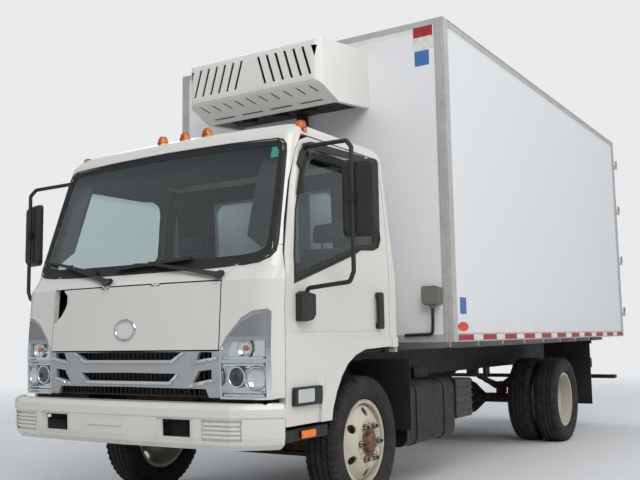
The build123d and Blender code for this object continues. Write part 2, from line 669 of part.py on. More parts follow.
def make_wipers():
    body = cab_form(-SEAT_FIT)
    wipers = []
    for pivot, blade0, blade1, grip in WIPERS:
        x, z = pivot
        foot = minus(rod((x, -1140, z), (x, -1000, z), 15), body)
        foot = common(foot, cab_form(-38))
        cap = minus(common(rod((x, -1180, z), (x, -980, z), 23), cab_form(-40)), cab_form(-18))
        arm = in_skin(-34, -22, front_prism(strip(pivot, grip, 13, 7), -1300, -900))
        blade = in_skin(-26, -10, front_prism(strip(blade0, blade1, 8, 8), -1300, -800))
        rubber = in_skin(-14, 3, front_prism(strip(blade0, blade1, 2.5, 2.5), -1300, -800))
        clip = in_skin(-34, -16, block(grip[0] - 22, grip[0] + 22, -1300, -800, grip[1] - 12, grip[1] + 12))
        wipers.append(union(foot, cap, arm, blade, rubber, clip))
    keep("wipers", beside(*wipers))


ARM_R = 12.5
ARM_X = 1310.0
ARM_Y = -763.0
HEAD_INNER = (1226.0, -717.0)
HEAD_WIDE = 201.0
HEAD_Z = (1585.0, 2016.0)
HEAD_DEEP = 46.0
HEAD_TURN = 0.251


def make_mirror(door):
    """A mirror head on its tube arm, from the bracket low on the door to the window frame."""
    tube = tube_run([(1012, -770, 1270), (1018, -770, 1322), (1285, ARM_Y, 1345), (ARM_X, ARM_Y, 1400),
                     (ARM_X, ARM_Y, 2075), (1270, -748, 2118), (915, -640, 2150)], ARM_R, 24)
    bracket = side_prism(BRACKET_OUTLINE, 960, 1036)
    anchor = rod((915, -640, 2150), (960, -654, 2146), 22)
    low, high = HEAD_Z
    run = Vector(cos(HEAD_TURN), sin(HEAD_TURN), 0)
    middle = point(HEAD_INNER[0], HEAD_INNER[1], (low + high) / 2) + run * (HEAD_WIDE / 2)
    ahead = Vector(run.Y, -run.X, 0)
    rear = Plane(middle, x_dir=run, z_dir=ahead) * RectangleRounded(HEAD_WIDE, high - low, 34)
    mid = Plane(middle + ahead * 24, x_dir=run, z_dir=ahead) * RectangleRounded(HEAD_WIDE - 6, high - low - 6, 34)
    nose = Plane(middle + ahead * HEAD_DEEP, x_dir=run, z_dir=ahead) * RectangleRounded(
        HEAD_WIDE - 44, high - low - 44, 28)
    head = Solid.make_loft([s.faces()[0].outer_wire() for s in (rear, mid, nose)], ruled=True)
    recess = extrude(Plane(middle, x_dir=run, z_dir=ahead) * RectangleRounded(
        HEAD_WIDE - 20, high - low - 20, 26), 3).solid()
    head = minus(head, recess)
    clamp = block(ARM_X - 20, ARM_X + 16, ARM_Y - 20, ARM_Y + 48, 1775, 1815)
    whole = union(tube, bracket, anchor, head, clamp)
    return minus(whole, cab_form(-SEAT_FIT), door)


def make_doors():
    outline = side_prism(shrunk(DOOR_OUTLINE, SEAM / 2), 700, 1100)
    door = in_skin(0, DOOR_WALL, outline)
    flare = in_skin(-FLARE_OUT, DOOR_WALL / 2, common(side_prism(FLARE_OUTLINE, 700, 1100), outline))
    door = minus(union(door, flare), side_prism(WINDOW_OUTLINE, 700, 1100))
    for z in HINGE_HEIGHTS:
        pocket = block(900, HINGE_SKIN_X, -960, HINGE_Y + HINGE_POCKET_Y, z - HINGE_POCKET_Z, z + HINGE_POCKET_Z)
        bore = upright(HINGE_X, HINGE_Y, z - HINGE_PIN_Z - 2, z + HINGE_PIN_Z + 2, HINGE_PIN_R + RUNNING_FIT)
        door = minus(door, pocket, bore)
    swage = in_skin(-4, 2.5, block(700, 1100, -944, 222, 1082, 1087))
    door = minus(door, swage)
    keep_pair("door", door)

    glass = common(cab_skin(SIDE_GLASS_IN, SIDE_GLASS_IN + GLASS),
                   side_prism(shrunk(WINDOW_OUTLINE, SEAT_FIT), 700, 1100))
    keep_pair("door_glass", glass)
    mirror = make_mirror(door)
    keep_pair("mirror", mirror)

    outside = -SEAT_FIT
    visor = in_skin(-16, outside, side_prism(VISOR_OUTLINE, 700, 1100))
    handle = in_skin(-32, outside, rounded_bar((900, 1060), (44, 104), (1098, 1329), 18, "x"))
    grip_hole = in_skin(-18, outside, block(900, 1060, 40, 90, 1135, 1292))
    lamp = in_skin(-24, outside, rounded_bar((900, 1060), (-895, -628), (690, 790), 14, "x"))
    lens_seat = in_skin(-60, -18, rounded_bar((900, 1100), (-868, -700), (704, 780), 10, "x"))
    keep_pair("door_trim", beside(minus(visor, mirror), minus(handle, grip_hole), minus(lamp, lens_seat)))


MARKER_PLACES = [(0, -620, 2300), (186, -624, 2300), (889, -618, 2245)]
MARKER_PROFILE = [(0, 0), (36, 0), (36, 32), (32, 36), (30, 54), (20, 68), (0, 74)]


def make_marker_lamps():
    lamps = []
    for x, y, z in MARKER_PLACES:
        wire = Wire.make_polygon([point(x + r, y, z + up) for r, up in MARKER_PROFILE], close=True)
        globe = Solid.revolve(Face(wire), 360, Axis(point(x, y, z), (0, 0, 1)))
        globe = minus(globe, cab_form(-SEAT_FIT))
        lamps += [globe] if x == 0 else [globe, other_side(globe)]
    keep("marker_lamps", beside(*lamps))


def make_frame():
    channel = [(RAIL_OUT, RAIL_BOTTOM), (RAIL_OUT, RAIL_TOP), (RAIL_IN, RAIL_TOP), (RAIL_IN, RAIL_TOP - RAIL_WALL),
               (RAIL_WEB, RAIL_TOP - RAIL_WALL), (RAIL_WEB, RAIL_BOTTOM + RAIL_WALL),
               (RAIL_IN, RAIL_BOTTOM + RAIL_WALL), (RAIL_IN, RAIL_BOTTOM)]
    rail = front_prism(channel, RAIL_FRONT, RAIL_REAR)
    places = MEMBER_PLACES + (RAIL_REAR - MEMBER_HALF - 2,)
    members = [block(-RAIL_WEB, RAIL_WEB, y - MEMBER_HALF, y + MEMBER_HALF, RAIL_BOTTOM + 40, RAIL_BOTTOM + 130)
               for y in places]
    sill = block(RAIL_OUT - 60, RAIL_OUT, BODY_START + 60, RAIL_REAR, RAIL_TOP, BODY_BOTTOM)
    low, high = CAB_PIVOT_Z - 60, CAB_PIVOT_Z + 30
    bracket = union(across(RAIL_IN, 400, CAB_PIVOT_Y, CAB_PIVOT_Z, 38),
                    block(RAIL_IN, 400, CAB_PIVOT_Y, RAIL_FRONT, low, CAB_PIVOT_Z + 38),
                    block(RAIL_IN, RAIL_OUT, RAIL_FRONT - 30, RAIL_FRONT, low, high))
    pin = across(296, 400, CAB_PIVOT_Y, CAB_PIVOT_Z, CAB_PIN_R)
    post = block(330, 400, 395, 445, RAIL_TOP, 1180)
    hanger = union(block(330, 400, HANGER_FRONT, -1035, 520, 655), block(330, RAIL_OUT, -1035, -1000, 560, 655),
                   side_prism([(-1035, 560), (-1035, 655), (-900, RAIL_BOTTOM), (-860, RAIL_BOTTOM),
                               (-860, 560)], RAIL_OUT - 60, RAIL_OUT))
    half = union(rail, sill, bracket, pin, post, hanger)
    cross = block(-400, 400, 395, 445, 1120, 1180)
    hitch_z = RAIL_BOTTOM + HITCH_UP
    holes = [rod((x, RAIL_REAR - 80, z), (x, RAIL_REAR + 10, z), HITCH_HOLE_R)
             for x in (-HITCH_SPACING_X / 2, HITCH_SPACING_X / 2)
             for z in (hitch_z - HITCH_SPACING_Z / 2, hitch_z + HITCH_SPACING_Z / 2)]
    keep("frame", minus(union(half, other_side(half), cross, *members), *holes))


def leaf_pack(y, half, seat):
    """A leaf spring: graded leaves over its seat, with eyes and hangers up to the rail."""
    x0 = RAIL_OUT - RAIL_FLANGE / 2 - SPRING_HALF
    x1 = x0 + 2 * SPRING_HALF
    eye_z = RAIL_BOTTOM - 45
    mid_z = seat + 50 + LEAF * LEAF_COUNT
    leaves = []
    for i in range(LEAF_COUNT):
        reach = half * (1 - 0.22 * i)
        drop = LEAF * i
        end_z = mid_z + (eye_z - mid_z) * (1 - 0.22 * i) - drop
        leaves.append(side_prism([(y - reach, end_z - LEAF), (y - 100, mid_z - drop - LEAF),
                                  (y + 100, mid_z - drop - LEAF), (y + reach, end_z - LEAF), (y + reach, end_z),
                                  (y + 100, mid_z - drop), (y - 100, mid_z - drop), (y - reach, end_z)], x0, x1))
    seat_block = block(x0, x1, y - 62, y + 62, seat, mid_z + 14)
    pieces = [union(*leaves, seat_block)]
    for side in (-1, 1):
        pieces.append(across(x0, x1, y + side * half, eye_z - LEAF / 2, 20))
        pieces.append(side_prism([(y + side * (half - 26), eye_z - 20), (y + side * (half + 26), eye_z - 20),
                                  (y + side * (half + 40), RAIL_BOTTOM - SEAT_FIT),
                                  (y + side * (half - 40), RAIL_BOTTOM - SEAT_FIT)], x0, x1))
    return union(*pieces)


def make_axles():
    boss_low, boss_high = BOSS_Z
    end = KINGPIN_X
    beam = front_prism([(0, 300), (end - 175, 300), (end - 110, boss_low), (end - 30, boss_low),
                        (end - 30, boss_high), (end - 130, boss_high), (end - 215, BEAM_TOP), (0, BEAM_TOP)], -45, 45)
    web = [front_prism([(0, 322), (end - 190, 322), (end - 120, boss_low + 18), (end - 95, boss_low + 18),
                        (end - 95, boss_high - 18), (end - 120, boss_high - 18), (end - 205, BEAM_TOP - 22),
                        (0, BEAM_TOP - 22)], y0, y1) for y0, y1 in ((-60, -14), (14, 60))]
    boss = upright(KINGPIN_X, 0, boss_low, boss_high, BOSS_R)
    pin = upright(KINGPIN_X, 0, boss_low - EAR - 4, boss_high + EAR + 4, KINGPIN_R)
    half = union(minus(beam, *web), boss, pin)
    keep("front_axle", union(half, other_side(half)))

    tube = across(-DUAL_TRACK / 2 - 25, DUAL_TRACK / 2 + 25, WHEELBASE, TYRE_R, REAR_TUBE_R)
    bulb = turned([(-200, 0), (-200, 56), (-150, 100), (-95, 150), (-60, 165), (60, 165), (95, 150), (150, 100),
                   (200, 56), (200, 0)], 0, WHEELBASE, TYRE_R, 1)
    nose = rod((0, WHEELBASE - 290, TYRE_R + DIFF_OFFSET), (0, WHEELBASE, TYRE_R), 75)
    shaft = rod((0, GEARBOX_BACK - 20, 560), (0, WHEELBASE - 280, TYRE_R + DIFF_OFFSET), SHAFT_R)
    joint = rod((0, GEARBOX_BACK, 560), (0, GEARBOX_BACK + 60, 560), 62)
    behind = block(-100, 100, GEARBOX_BACK - 60, GEARBOX_BACK + SEAT_FIT, 400, 700)
    keep("rear_axle", minus(union(tube, bulb, nose, shaft, joint), behind))

    front = leaf_pack(0, 620, BEAM_TOP + SEAT_FIT)
    rear = leaf_pack(WHEELBASE, 720, TYRE_R + REAR_TUBE_R + SEAT_FIT)
    keep("leaf_springs", beside(both(front), both(rear)))

    x = KINGPIN_X
    ear_low, ear_high = boss_low - EAR_GAP - EAR, boss_high + EAR_GAP
    ears = [upright(x, 0, z0, z0 + EAR, BOSS_R + 2) for z0 in (ear_low, ear_high)]
    links = [block(x, x + 60, -40, 40, z0, z0 + EAR) for z0 in (ear_low, ear_high)]
    bridge = block(x + 46, x + 76, -45, 45, ear_low, ear_high + EAR)
    spindle = across(x + 60, FRONT_TRACK / 2 + SPINDLE_REACH, 0, TYRE_R, SPINDLE_R)
    arm = block(x - 16, x + 16, 0, STEER_ARM + 20, ear_low, ear_low + 22)
    body = union(*ears, *links, bridge, spindle, arm)
    body = minus(body, upright(x, 0, ear_low - 20, ear_high + EAR + 20, KINGPIN_R + RUNNING_FIT),
                 upright(x, STEER_ARM, ear_low - 20, ear_low + 40, STEER_STUD_R + RUNNING_FIT))
    keep_pair("knuckle", body)

    bar = across(-KINGPIN_X, KINGPIN_X, STEER_ARM, TIE_ROD_Z, TIE_ROD_R)
    studs = [upright(side * KINGPIN_X, STEER_ARM, TIE_ROD_Z - TIE_ROD_R, ear_low + 24, STEER_STUD_R)
             for side in (1, -1)]
    keep("tie_rod", union(bar, *studs))


# The tyre's right half section as (outboard, radius) points, from the bead to the tread
TYRE_SECTION = [(RIM_HALF - RIM_FLANGE - SEAT_FIT, RIM_R - RIM_SEAT_DROP + SEAT_FIT),
                (RIM_HALF - RIM_FLANGE - SEAT_FIT, RIM_R + 1), (95, 268), (107, 296), (113, 335), (110, 368),
                (102, 389), (90, 400), (74, TYRE_R)]
# The disc wheel's faces as (outboard, radius) points
DISC_OUTER = [(34, RIM_R - 22), (62, 222), (92, 186), (110, 158), (DISC_OFFSET, 143), (DISC_OFFSET, HUB_R)]


def make_tyre(x, y, side):
    profile = TYRE_SECTION + [(-out, r) for out, r in reversed(TYRE_SECTION)]
    return turned(profile, x, y, TYRE_R, side)


def make_rim(x, y, side, dish):
    """A steel disc wheel; dish is +1 where the disc bulges outboard and -1 where it is sunk inboard."""
    seat = RIM_R - RIM_SEAT_DROP
    well = seat - RIM_WALL
    flange = RIM_HALF - RIM_FLANGE
    barrel = turned([(-RIM_HALF, RIM_R), (-flange, RIM_R), (-flange, seat), (flange, seat), (flange, RIM_R),
                     (RIM_HALF, RIM_R), (RIM_HALF, well), (-RIM_HALF, well)], x, y, TYRE_R, side)
    inner = [(out - DISC_WALL, r - 3) for out, r in DISC_OUTER[:-1]] + [(DISC_OFFSET - DISC_WALL, HUB_R)]
    profile = DISC_OUTER + list(reversed(inner))
    disc = turned([(dish * out, r + 2) if i == 0 else (dish * out, r) for i, (out, r) in enumerate(profile)],
                  x, y, TYRE_R, side)
    holes = []
    for i in range(HAND_HOLES):
        turn = 2 * pi * (i + 0.5) / HAND_HOLES
        hole_y = y + HAND_HOLE_CIRCLE_R * cos(turn)
        hole_z = TYRE_R + HAND_HOLE_CIRCLE_R * sin(turn)
        holes.append(across(x - 140, x + 140, hole_y, hole_z, HAND_HOLE_R))
    return union(barrel, minus(disc, *holes))


def make_studs(x0, x1, y):
    """The ring of wheel nuts between two places across the truck."""
    nuts = []
    for i in range(STUD_COUNT):
        turn = 2 * pi * i / STUD_COUNT
        nuts.append(across(x0, x1, y + STUD_CIRCLE_R * cos(turn), TYRE_R + STUD_CIRCLE_R * sin(turn), STUD_R))
    return nuts


def make_wheels():
    bore = SPINDLE_R + RUNNING_FIT
    spindle_end = SPINDLE_REACH + 4
    face = DISC_OFFSET
    for side, hand in ((1, "left"), (-1, "right")):
        x = side * FRONT_TRACK / 2
        keep(f"front_tyre_{hand}", make_tyre(x, 0, side))
        hub = turned([(-20, bore), (-20, 150), (30, 150), (40, HUB_R + 1), (face, HUB_R + 1), (face, 62),
                      (face + 20, 56), (face + 30, 40), (face + 30, 0), (spindle_end, 0), (spindle_end, bore)],
                     x, 0, TYRE_R, side)
        nuts = make_studs(x + side * (face - 8), x + side * (face + STUD_PROUD), 0)
        keep(f"front_wheel_{hand}", union(make_rim(x, 0, side, 1), hub, *nuts))
        middle = side * DUAL_TRACK / 2
        outer = middle + side * DUAL_SPACING / 2
        inner = middle - side * DUAL_SPACING / 2
        keep(f"rear_tyres_{hand}", beside(make_tyre(outer, WHEELBASE, side), make_tyre(inner, WHEELBASE, side)))
        bore_r = REAR_TUBE_R + RUNNING_FIT
        gap = DUAL_SPACING / 2 - DISC_OFFSET
        hub = turned([(-150, bore_r), (-150, 150), (-40, 150), (-30, HUB_R + 1), (-gap, HUB_R + 1), (-gap, 138),
                      (gap, 138), (gap, HUB_R + 1), (80, HUB_R + 1), (96, 62), (96, 0), (30, 0), (30, bore_r)],
                     middle, WHEELBASE, TYRE_R, side)
        nuts = make_studs(middle - side * gap, middle + side * (gap + DISC_WALL + STUD_PROUD), WHEELBASE)
        keep(f"rear_wheels_{hand}", union(make_rim(outer, WHEELBASE, side, -1),
                                          make_rim(inner, WHEELBASE, side, 1), hub, *nuts))


def make_chassis_pieces():
    carrier = RAIL_WEB - SEAT_FIT
    engine = union(block(-ENGINE_HALF, ENGINE_HALF, ENGINE_FRONT, ENGINE_BACK, 560, 1050),
                   block(-200, 200, -520, 200, 470, 560),
                   block(-180, 180, ENGINE_BACK, 900, 520, 860), block(-90, 90, 900, GEARBOX_BACK, 490, 640),
                   block(-carrier, carrier, -300, -180, 740, 800))
    radiator = union(block(-RADIATOR_HALF, RADIATOR_HALF, *RADIATOR_Y, 560, 925),
                     block(-carrier, carrier, RADIATOR_Y[0] + 20, RADIATOR_Y[1] - 20, 745, 790))
    keep("engine", beside(engine, radiator))

    outside = RAIL_OUT + SEAT_FIT
    tank = rounded_bar((500, 925), (572, 1368), (303, 732), 70, "y")
    bands = [minus(rounded_bar((494, 931), (y - 22, y + 22), (297, 738), 76, "y"),
                   rounded_bar((510, 915), (y - 30, y + 30), (313, 722), 60, "y")) for y in (740, 1200)]
    arms = [block(outside, 520, y - 22, y + 22, 690, 860) for y in (740, 1200)]
    cap = upright(820, 660, 725, 762, 38)
    keep("fuel_tank", union(tank, *bands, *arms, cap))

    box = rounded_bar((560, 930), (1400, 1700), (423, 719), 14, "y")
    ribs = [rounded_bar((552, 938), (1390, 1710), (z, z + 18), 8, "z") for z in (455, 515, 575, 635, 690)]
    keep("battery_box", union(box, *ribs, block(outside, 570, 1430, 1670, 640, 800)))

    muffler = rod((-700, 700, 560), (-700, 1650, 560), 150)
    tail = tube_run([(-700, 1640, 560), (-700, 2250, 560), (-860, 2440, 500)], 45, 120)
    inlet = rod((-700, 700, 560), (-700, 520, 560), 45)
    straps = [block(-700, -outside, y - 20, y + 20, 680, 800) for y in (850, 1500)]
    keep("exhaust", union(muffler, tail, inlet, *straps))

    front_flap = union(block(640, 1000, 486, 492, 430, 900), block(outside, 700, 492, 520, 830, 890))
    rear_flap = union(block(560, 1065, 4722, 4730, 290, BODY_BOTTOM - 60), block(540, 1085, 4714, 4738,
                                                                              BODY_BOTTOM - 70, BODY_BOTTOM - SEAT_FIT))
    keep("mudguards", beside(both(front_flap), both(rear_flap)))


# Bumper: height and how far its face is drawn back there
BUMPER_ROWS = [(485, 34), (512, 14), (545, 8), (643, 6), (652, 0), (692, 0), (712, 10), (720, 26)]
BUMPER_WALL = 20.0
BUMPER_END = 1045.0
BUMPER_BACK = -1030.0
BUMPER_FLANGE_BACK = -1120.0
BUMPER_LOW = BUMPER_ROWS[0][0]
BUMPER_HIGH = BUMPER_ROWS[-1][0]
TOW_OPENING = (367.0, 560.0, 545.0, 635.0)
BLANK_RECESS = (640.0, 872.0, 532.0, 640.0)
BLANK_SLATS = 4


def bumper_section(z, inset):
    """One plan outline of the bumper: a shallow arc, two round corners and a straight back."""
    front = inset - FRONT_OVERHANG
    corner_x = 820 - inset * 0.3
    bend_x = 942 - inset * 0.6
    end_x = BUMPER_END - inset * 0.7
    back = BUMPER_BACK + 90
    left = point(corner_x, front + 32, z)
    right = point(-corner_x, front + 32, z)
    edges = [
        ThreePointArc(right, point(0, front, z), left),
        ThreePointArc(left, point(bend_x, front + 104, z), point(end_x, front + 195, z)),
        Line(point(end_x, front + 195, z), point(end_x, back, z)),
        Line(point(end_x, back, z), point(-end_x, back, z)),
        Line(point(-end_x, back, z), point(-end_x, front + 195, z)),
        ThreePointArc(point(-end_x, front + 195, z), point(-bend_x, front + 104, z), right),
    ]
    return Wire(edges)


@cache
def bumper_form(inset):
    """The bumper as a full solid, its face drawn inwards."""
    return Solid.make_loft([bumper_section(z, drawn + inset) for z, drawn in BUMPER_ROWS], ruled=True)


def make_bumper():
    hollow = Solid.make_loft([bumper_section(z, drawn + BUMPER_WALL) for z, drawn in
                              ((BUMPER_LOW - 20, 30), (512, 14), (643, 6), (BUMPER_HIGH - 10, 6))], ruled=True)
    behind = block(-1100, 1100, BUMPER_BACK, -900, 400, 800)
    under_cab = block(-900, 900, BUMPER_FLANGE_BACK, -900, 480, 800)
    under_lamps = block(-970, 970, BUMPER_FLANGE_BACK + 20, -900, BUMPER_HIGH - 18, 800)
    shell = minus(bumper_form(0), hollow, behind, under_cab, under_lamps)
    x0, x1, z0, z1 = TOW_OPENING
    tow = block(x0, x1, -1300, -1150, z0, z1)
    chamfer = minus(block(x0 - 24, x1 + 24, -1300, -1100, z0 - 18, z1 + 10), bumper_form(10))
    x0, x1, z0, z1 = BLANK_RECESS
    blank = minus(block(x0, x1, -1300, -1100, z0, z1), bumper_form(12))
    step = (z1 - z0 - 20) / BLANK_SLATS
    slats = [common(minus(bumper_form(4), bumper_form(16)),
                    block(x0 + 8, x1 - 8, -1300, -1100, z0 + 14 + i * step, z0 + 28 + i * step))
             for i in range(BLANK_SLATS)]
    cuts = [tow, chamfer, blank]
    shell = minus(shell, *cuts, *[other_side(cut) for cut in cuts])
    plate = common(minus(bumper_form(-6), bumper_form(12)), block(-177, 91, -1300, -1200, 589, 629))
    tie = common(block(325, 405, -1240, HANGER_FRONT - SEAT_FIT, 650, 700), bumper_form(5))
    keep("front_bumper", union(shell, plate, *slats, *[other_side(slat) for slat in slats], tie, other_side(tie)))


def make_body():
    front, rear, half = BODY_START, BODY_REAR, BODY_HALF
    inner = half - WALL_SIDE
    keep("body_side_walls", both(block(inner, half, front, BODY_BACK, BODY_BOTTOM, ROOF_LOW)))
    slab = block(-inner, inner, front + WALL_FRONT, BODY_BACK, BODY_BOTTOM, FLOOR_TOP)
    outriggers = []
    for i in range(9):
        y = front + 160 + i * 520
        rig = front_prism([(RAIL_OUT + SEAT_FIT, RAIL_TOP + 6), (RAIL_OUT + 60, RAIL_TOP + 6),
                           (inner - 30, BODY_BOTTOM - 34), (inner - 30, BODY_BOTTOM + 10),
                           (RAIL_OUT + SEAT_FIT, BODY_BOTTOM + 10)], y, y + 40)
        outriggers += [rig, other_side(rig)]
    keep("body_floor", union(slab, *outriggers))
    keep("body_front_wall", block(-inner, inner, front, front + WALL_FRONT, BODY_BOTTOM, ROOF_LOW))
    keep("body_roof", block(-half, half, front, BODY_BACK, ROOF_LOW, BODY_TOP))

    ring = minus(block(-half, half, BODY_BACK, rear, BODY_BOTTOM, BODY_TOP),
                 block(REAR_POST - half, half - REAR_POST, BODY_BACK - 10, rear + 10, FLOOR_TOP,
                       BODY_TOP - REAR_HEAD))
    pin_x = half + LEAF_PIN_OUT
    pin_y = rear + LEAF_PIN_BACK
    knuckles = []
    for z in LEAF_HINGES:
        low, high = z - 60, z - 20
        knuckles += [block(half - 40, pin_x, rear, rear + 20, low, high),
                     block(half - 2, pin_x + 8, rear, pin_y, low, high),
                     upright(pin_x, pin_y, low, high, LEAF_EYE_R), upright(pin_x, pin_y, low, z + 40, LEAF_PIN_R)]
    keepers = [block(LOCK_ROD_X + side * 18 - 4, LOCK_ROD_X + side * 18 + 4, rear, rear + 30, z, z + 34)
               for side in (-1, 1) for z in (1040, 3226)]
    lamps = [rounded_bar((x - 34, x + 34), (rear - 5, rear + 14), (3262, 3290), 12, "y") for x in (0, 180)]
    sides = [union(*knuckles[i:i + 4]) for i in range(0, len(knuckles), 4)]
    extras = sides + keepers + [lamps[1]]
    ring = union(ring, lamps[0], *extras, *[other_side(shape) for shape in extras])
    keep("body_rear_frame", ring)

    leaf_x1 = half - REAR_POST - LEAF_GAP
    leaf_z = (FLOOR_TOP + LEAF_GAP, BODY_TOP - REAR_HEAD - LEAF_GAP)
    leaf = block(LEAF_GAP, leaf_x1, rear - LEAF_WALL, rear, *leaf_z)
    field = minus(block(60, leaf_x1 - 52, rear - 4, rear + 5, leaf_z[0] + 60, leaf_z[1] - 60),
                  *[block(0, 1300, rear - 10, rear + 10, z - 26, z + 26) for z in LEAF_HINGES])
    leaf = minus(leaf, field)
    straps = []
    for z in LEAF_HINGES:
        low, high = z - 19, z + 19
        straps += [block(leaf_x1 - 260, pin_x - 4, rear, rear + 6, low, high),
                   block(pin_x - 20, pin_x, rear, pin_y, low, high), upright(pin_x, pin_y, low, z + 40, LEAF_EYE_R)]
    bar_y = rear + LOCK_ROD_OUT
    bar = upright(LOCK_ROD_X, bar_y, 1030, 3270, LOCK_ROD_R)
    guides = [block(LOCK_ROD_X - 20, LOCK_ROD_X + 20, rear - 6, bar_y, z - 30, z + 30)
              for z in (1240, 1700, 2600, 3100)]
    handle = union(block(LOCK_ROD_X - 14, LOCK_ROD_X + 300, bar_y - 6, bar_y + 8, 1500, 1534),
                   block(LOCK_ROD_X + 270, LOCK_ROD_X + 330, rear - 6, bar_y + 8, 1490, 1544))
    hole = upright(pin_x, pin_y, 1000, 3300, LEAF_PIN_R + RUNNING_FIT)
    keep_pair("rear_door", minus(union(leaf, *straps, *guides, bar, handle), hole))

    skin = RAIL_SKIN
    post = union(block(1147, half, front - skin, front, BODY_BOTTOM, BODY_TOP),
                 block(half, half + skin, front - skin, front + 72, BODY_BOTTOM, BODY_TOP),
                 block(1160, 1170, front - skin - 5, front, BODY_BOTTOM, BODY_TOP),
                 block(1196, 1206, front - skin - 5, front, BODY_BOTTOM, BODY_TOP))
    rails = [block(half, half + skin, front + 72, rear - 60, BODY_TOP - 55, BODY_TOP),
             block(half, half + skin + 4, front + 72, rear - 60, BODY_TOP - 12, BODY_TOP - 4),
             block(half, half + skin, front + 72, rear - 60, BODY_BOTTOM, BODY_BOTTOM + 60),
             block(half, half + skin + 4, front + 72, rear - 60, BODY_BOTTOM + 1, BODY_BOTTOM + 8)]
    cross = [block(-1147, 1147, front - skin, front, BODY_TOP - 42, BODY_TOP),
             block(-1147, 1147, front - skin, front, BODY_BOTTOM, BODY_BOTTOM + 52)]
    side = union(post, *rails)
    keep("body_rails", union(side, other_side(side), *cross))


def unit_form(inset):
    """The cooling unit's moulded cover as a full solid, drawn inwards by its wall."""
    i = inset
    face = UNIT_FRONT_Y
    side = side_prism([(face + i, 2808 + i), (face - 4 + i, 2830), (face - 4 + i, 3040), (face + i, 3072 - i),
                       (face + 14 + i, 3094 - i), (face + 40 + i, 3108 - i), (BODY_START, 3167 - i),
                       (BODY_START, 2737 + i), (323, 2696 + i), (face + 20 + i, 2790 + i)], -700, 700)
    front = UNIT_FRONT_HALF
    plan = plan_prism([(i - UNIT_BACK_HALF, BODY_START), (i - front - 14, face + 60), (i - front - 4, face + 26),
                       (i - front + 20, face + 4), (i - front + 50, face - 6 + i), (front - 50 - i, face - 6 + i),
                       (front - 20 - i, face + 4), (front + 4 - i, face + 26), (front + 14 - i, face + 60),
                       (UNIT_BACK_HALF - i, BODY_START)], 2600, 3300)
    return common(side, plan)


def make_cooling_unit():
    back = BODY_START - SEAT_FIT
    cover = minus(unit_form(0), unit_form(UNIT_WALL), block(-560, 560, 330, 740, 2600, 2800),
                  block(-700, 700, back, 800, 2600, 3300))
    slots = []
    for i in range(SLOT_COUNT):
        x = 62 + i * SLOT_PITCH
        slots.append(front_prism([(x, 3052), (x + SLOT_WIDE, 3052), (x + SLOT_WIDE + 62, 2846), (x + 62, 2846)],
                                 0, 200))
    slots.append(front_prism([(x + SLOT_PITCH + 4, 3048), (x + SLOT_PITCH + 44, 3048),
                              (x + SLOT_PITCH + 30, 2962)], 0, 200))
    slots += [other_side(slot) for slot in slots]
    for i in range(SHORT_SLOTS):
        x = (i - (SHORT_SLOTS - 1) / 2) * 108
        slots.append(front_prism([(x - 22, 2784), (x - 8, 2784), (x + 26, 2752), (x + 12, 2752)], 60, 300))
    for i in range(4):
        x = (i - 1.5) * 262
        slots.append(front_prism([(x - 96, 2722), (x + 96, 2722), (x + 96, 2714), (x - 96, 2714)], 200, 330))
    keep("cooling_cover", minus(cover, *slots))

    coil = block(-520, 520, 150, 240, 2800, 3060)
    core = union(block(-540, 540, 400, back, 2760, 2800), block(-500, 500, 500, back, 2800, 3100),
                 block(-520, 520, 240, 500, 2790, 2830), coil)
    fans = [rod((x, 120, 2935), (x, 160, 2935), 110) for x in (-270, 270)]
    pods = [rod((x, 470, 2700), (x, 470, 2770), 60) for x in (-300, 0, 260)]
    duct = rounded_bar((-10, 74), (back - 60, back), (1500, 2765), 18, "z")
    evaporator = block(-600, 600, BODY_START + WALL_FRONT + SEAT_FIT, BODY_START + WALL_FRONT + 260, 2800,
                       ROOF_LOW - SEAT_FIT)
    keep("cooling_core", beside(union(core, *fans, *pods, duct), evaporator))

    inlet = union(rounded_bar((1024, 1145), (back - 62, back), (1261, 1386), 16, "y"),
                  rounded_bar((1018, 1142), (back - 70, back - 54), (1268, 1392), 18, "y"),
                  rod((1085, back - 35, 1240), (1085, back - 35, 1270), 20))
    keep("standby_inlet", inlet)
    keep("standby_cable", tube_run([(1085, back - 35, 1240 - SEAT_FIT), (1085, back - 35, 1140),
                                    (1070, back - 17, 1062), (860, back - 17, 1056)], 11, 24))


def make_rear_pieces():
    tread = block(-1100, 1100, BODY_REAR - 60, BODY_REAR + STEP_REACH, 520, 560)
    treads = [block(x - 200, x + 200, BODY_REAR - 40, BODY_REAR + STEP_REACH - 20, 552, 570) for x in (-750, 0, 750)]
    tread = minus(tread, *treads)
    post = block(RAIL_OUT + SEAT_FIT, RAIL_OUT + 40, BODY_REAR - 190, BODY_REAR - 60, 520, RAIL_BOTTOM + 150)
    arm = block(660, 740, BODY_REAR - 60, BODY_REAR - 20, 550, 700)
    lamp = rounded_bar((570, 830), (BODY_REAR - 40, BODY_REAR + 20), (640, 760), 14, "y")
    lamp = minus(lamp, block(654, 660, BODY_REAR + 10, BODY_REAR + 30, 600, 800),
                 block(742, 748, BODY_REAR + 10, BODY_REAR + 30, 600, 800))
    half = union(post, arm, lamp)
    keep("rear_step", union(tread, half, other_side(half)))


MAKERS = (make_cab_shell, make_cab_front_pieces, make_cab_floor, make_cab_inside, make_wipers, make_doors,
          make_marker_lamps, make_frame, make_axles, make_wheels, make_chassis_pieces, make_bumper, make_body,
          make_cooling_unit, make_rear_pieces)

os.makedirs("parts", exist_ok=True)
for maker in MAKERS:
    maker()
for name, shape in NODES.items():
    export_step(shape, f"parts/{name}.step")
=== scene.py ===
from math import cos, dist, pi, radians, sin

import bmesh
import bpy
from mathutils import Matrix, Vector
from mathutils.bvhtree import BVHTree
from mathutils.geometry import delaunay_2d_cdt


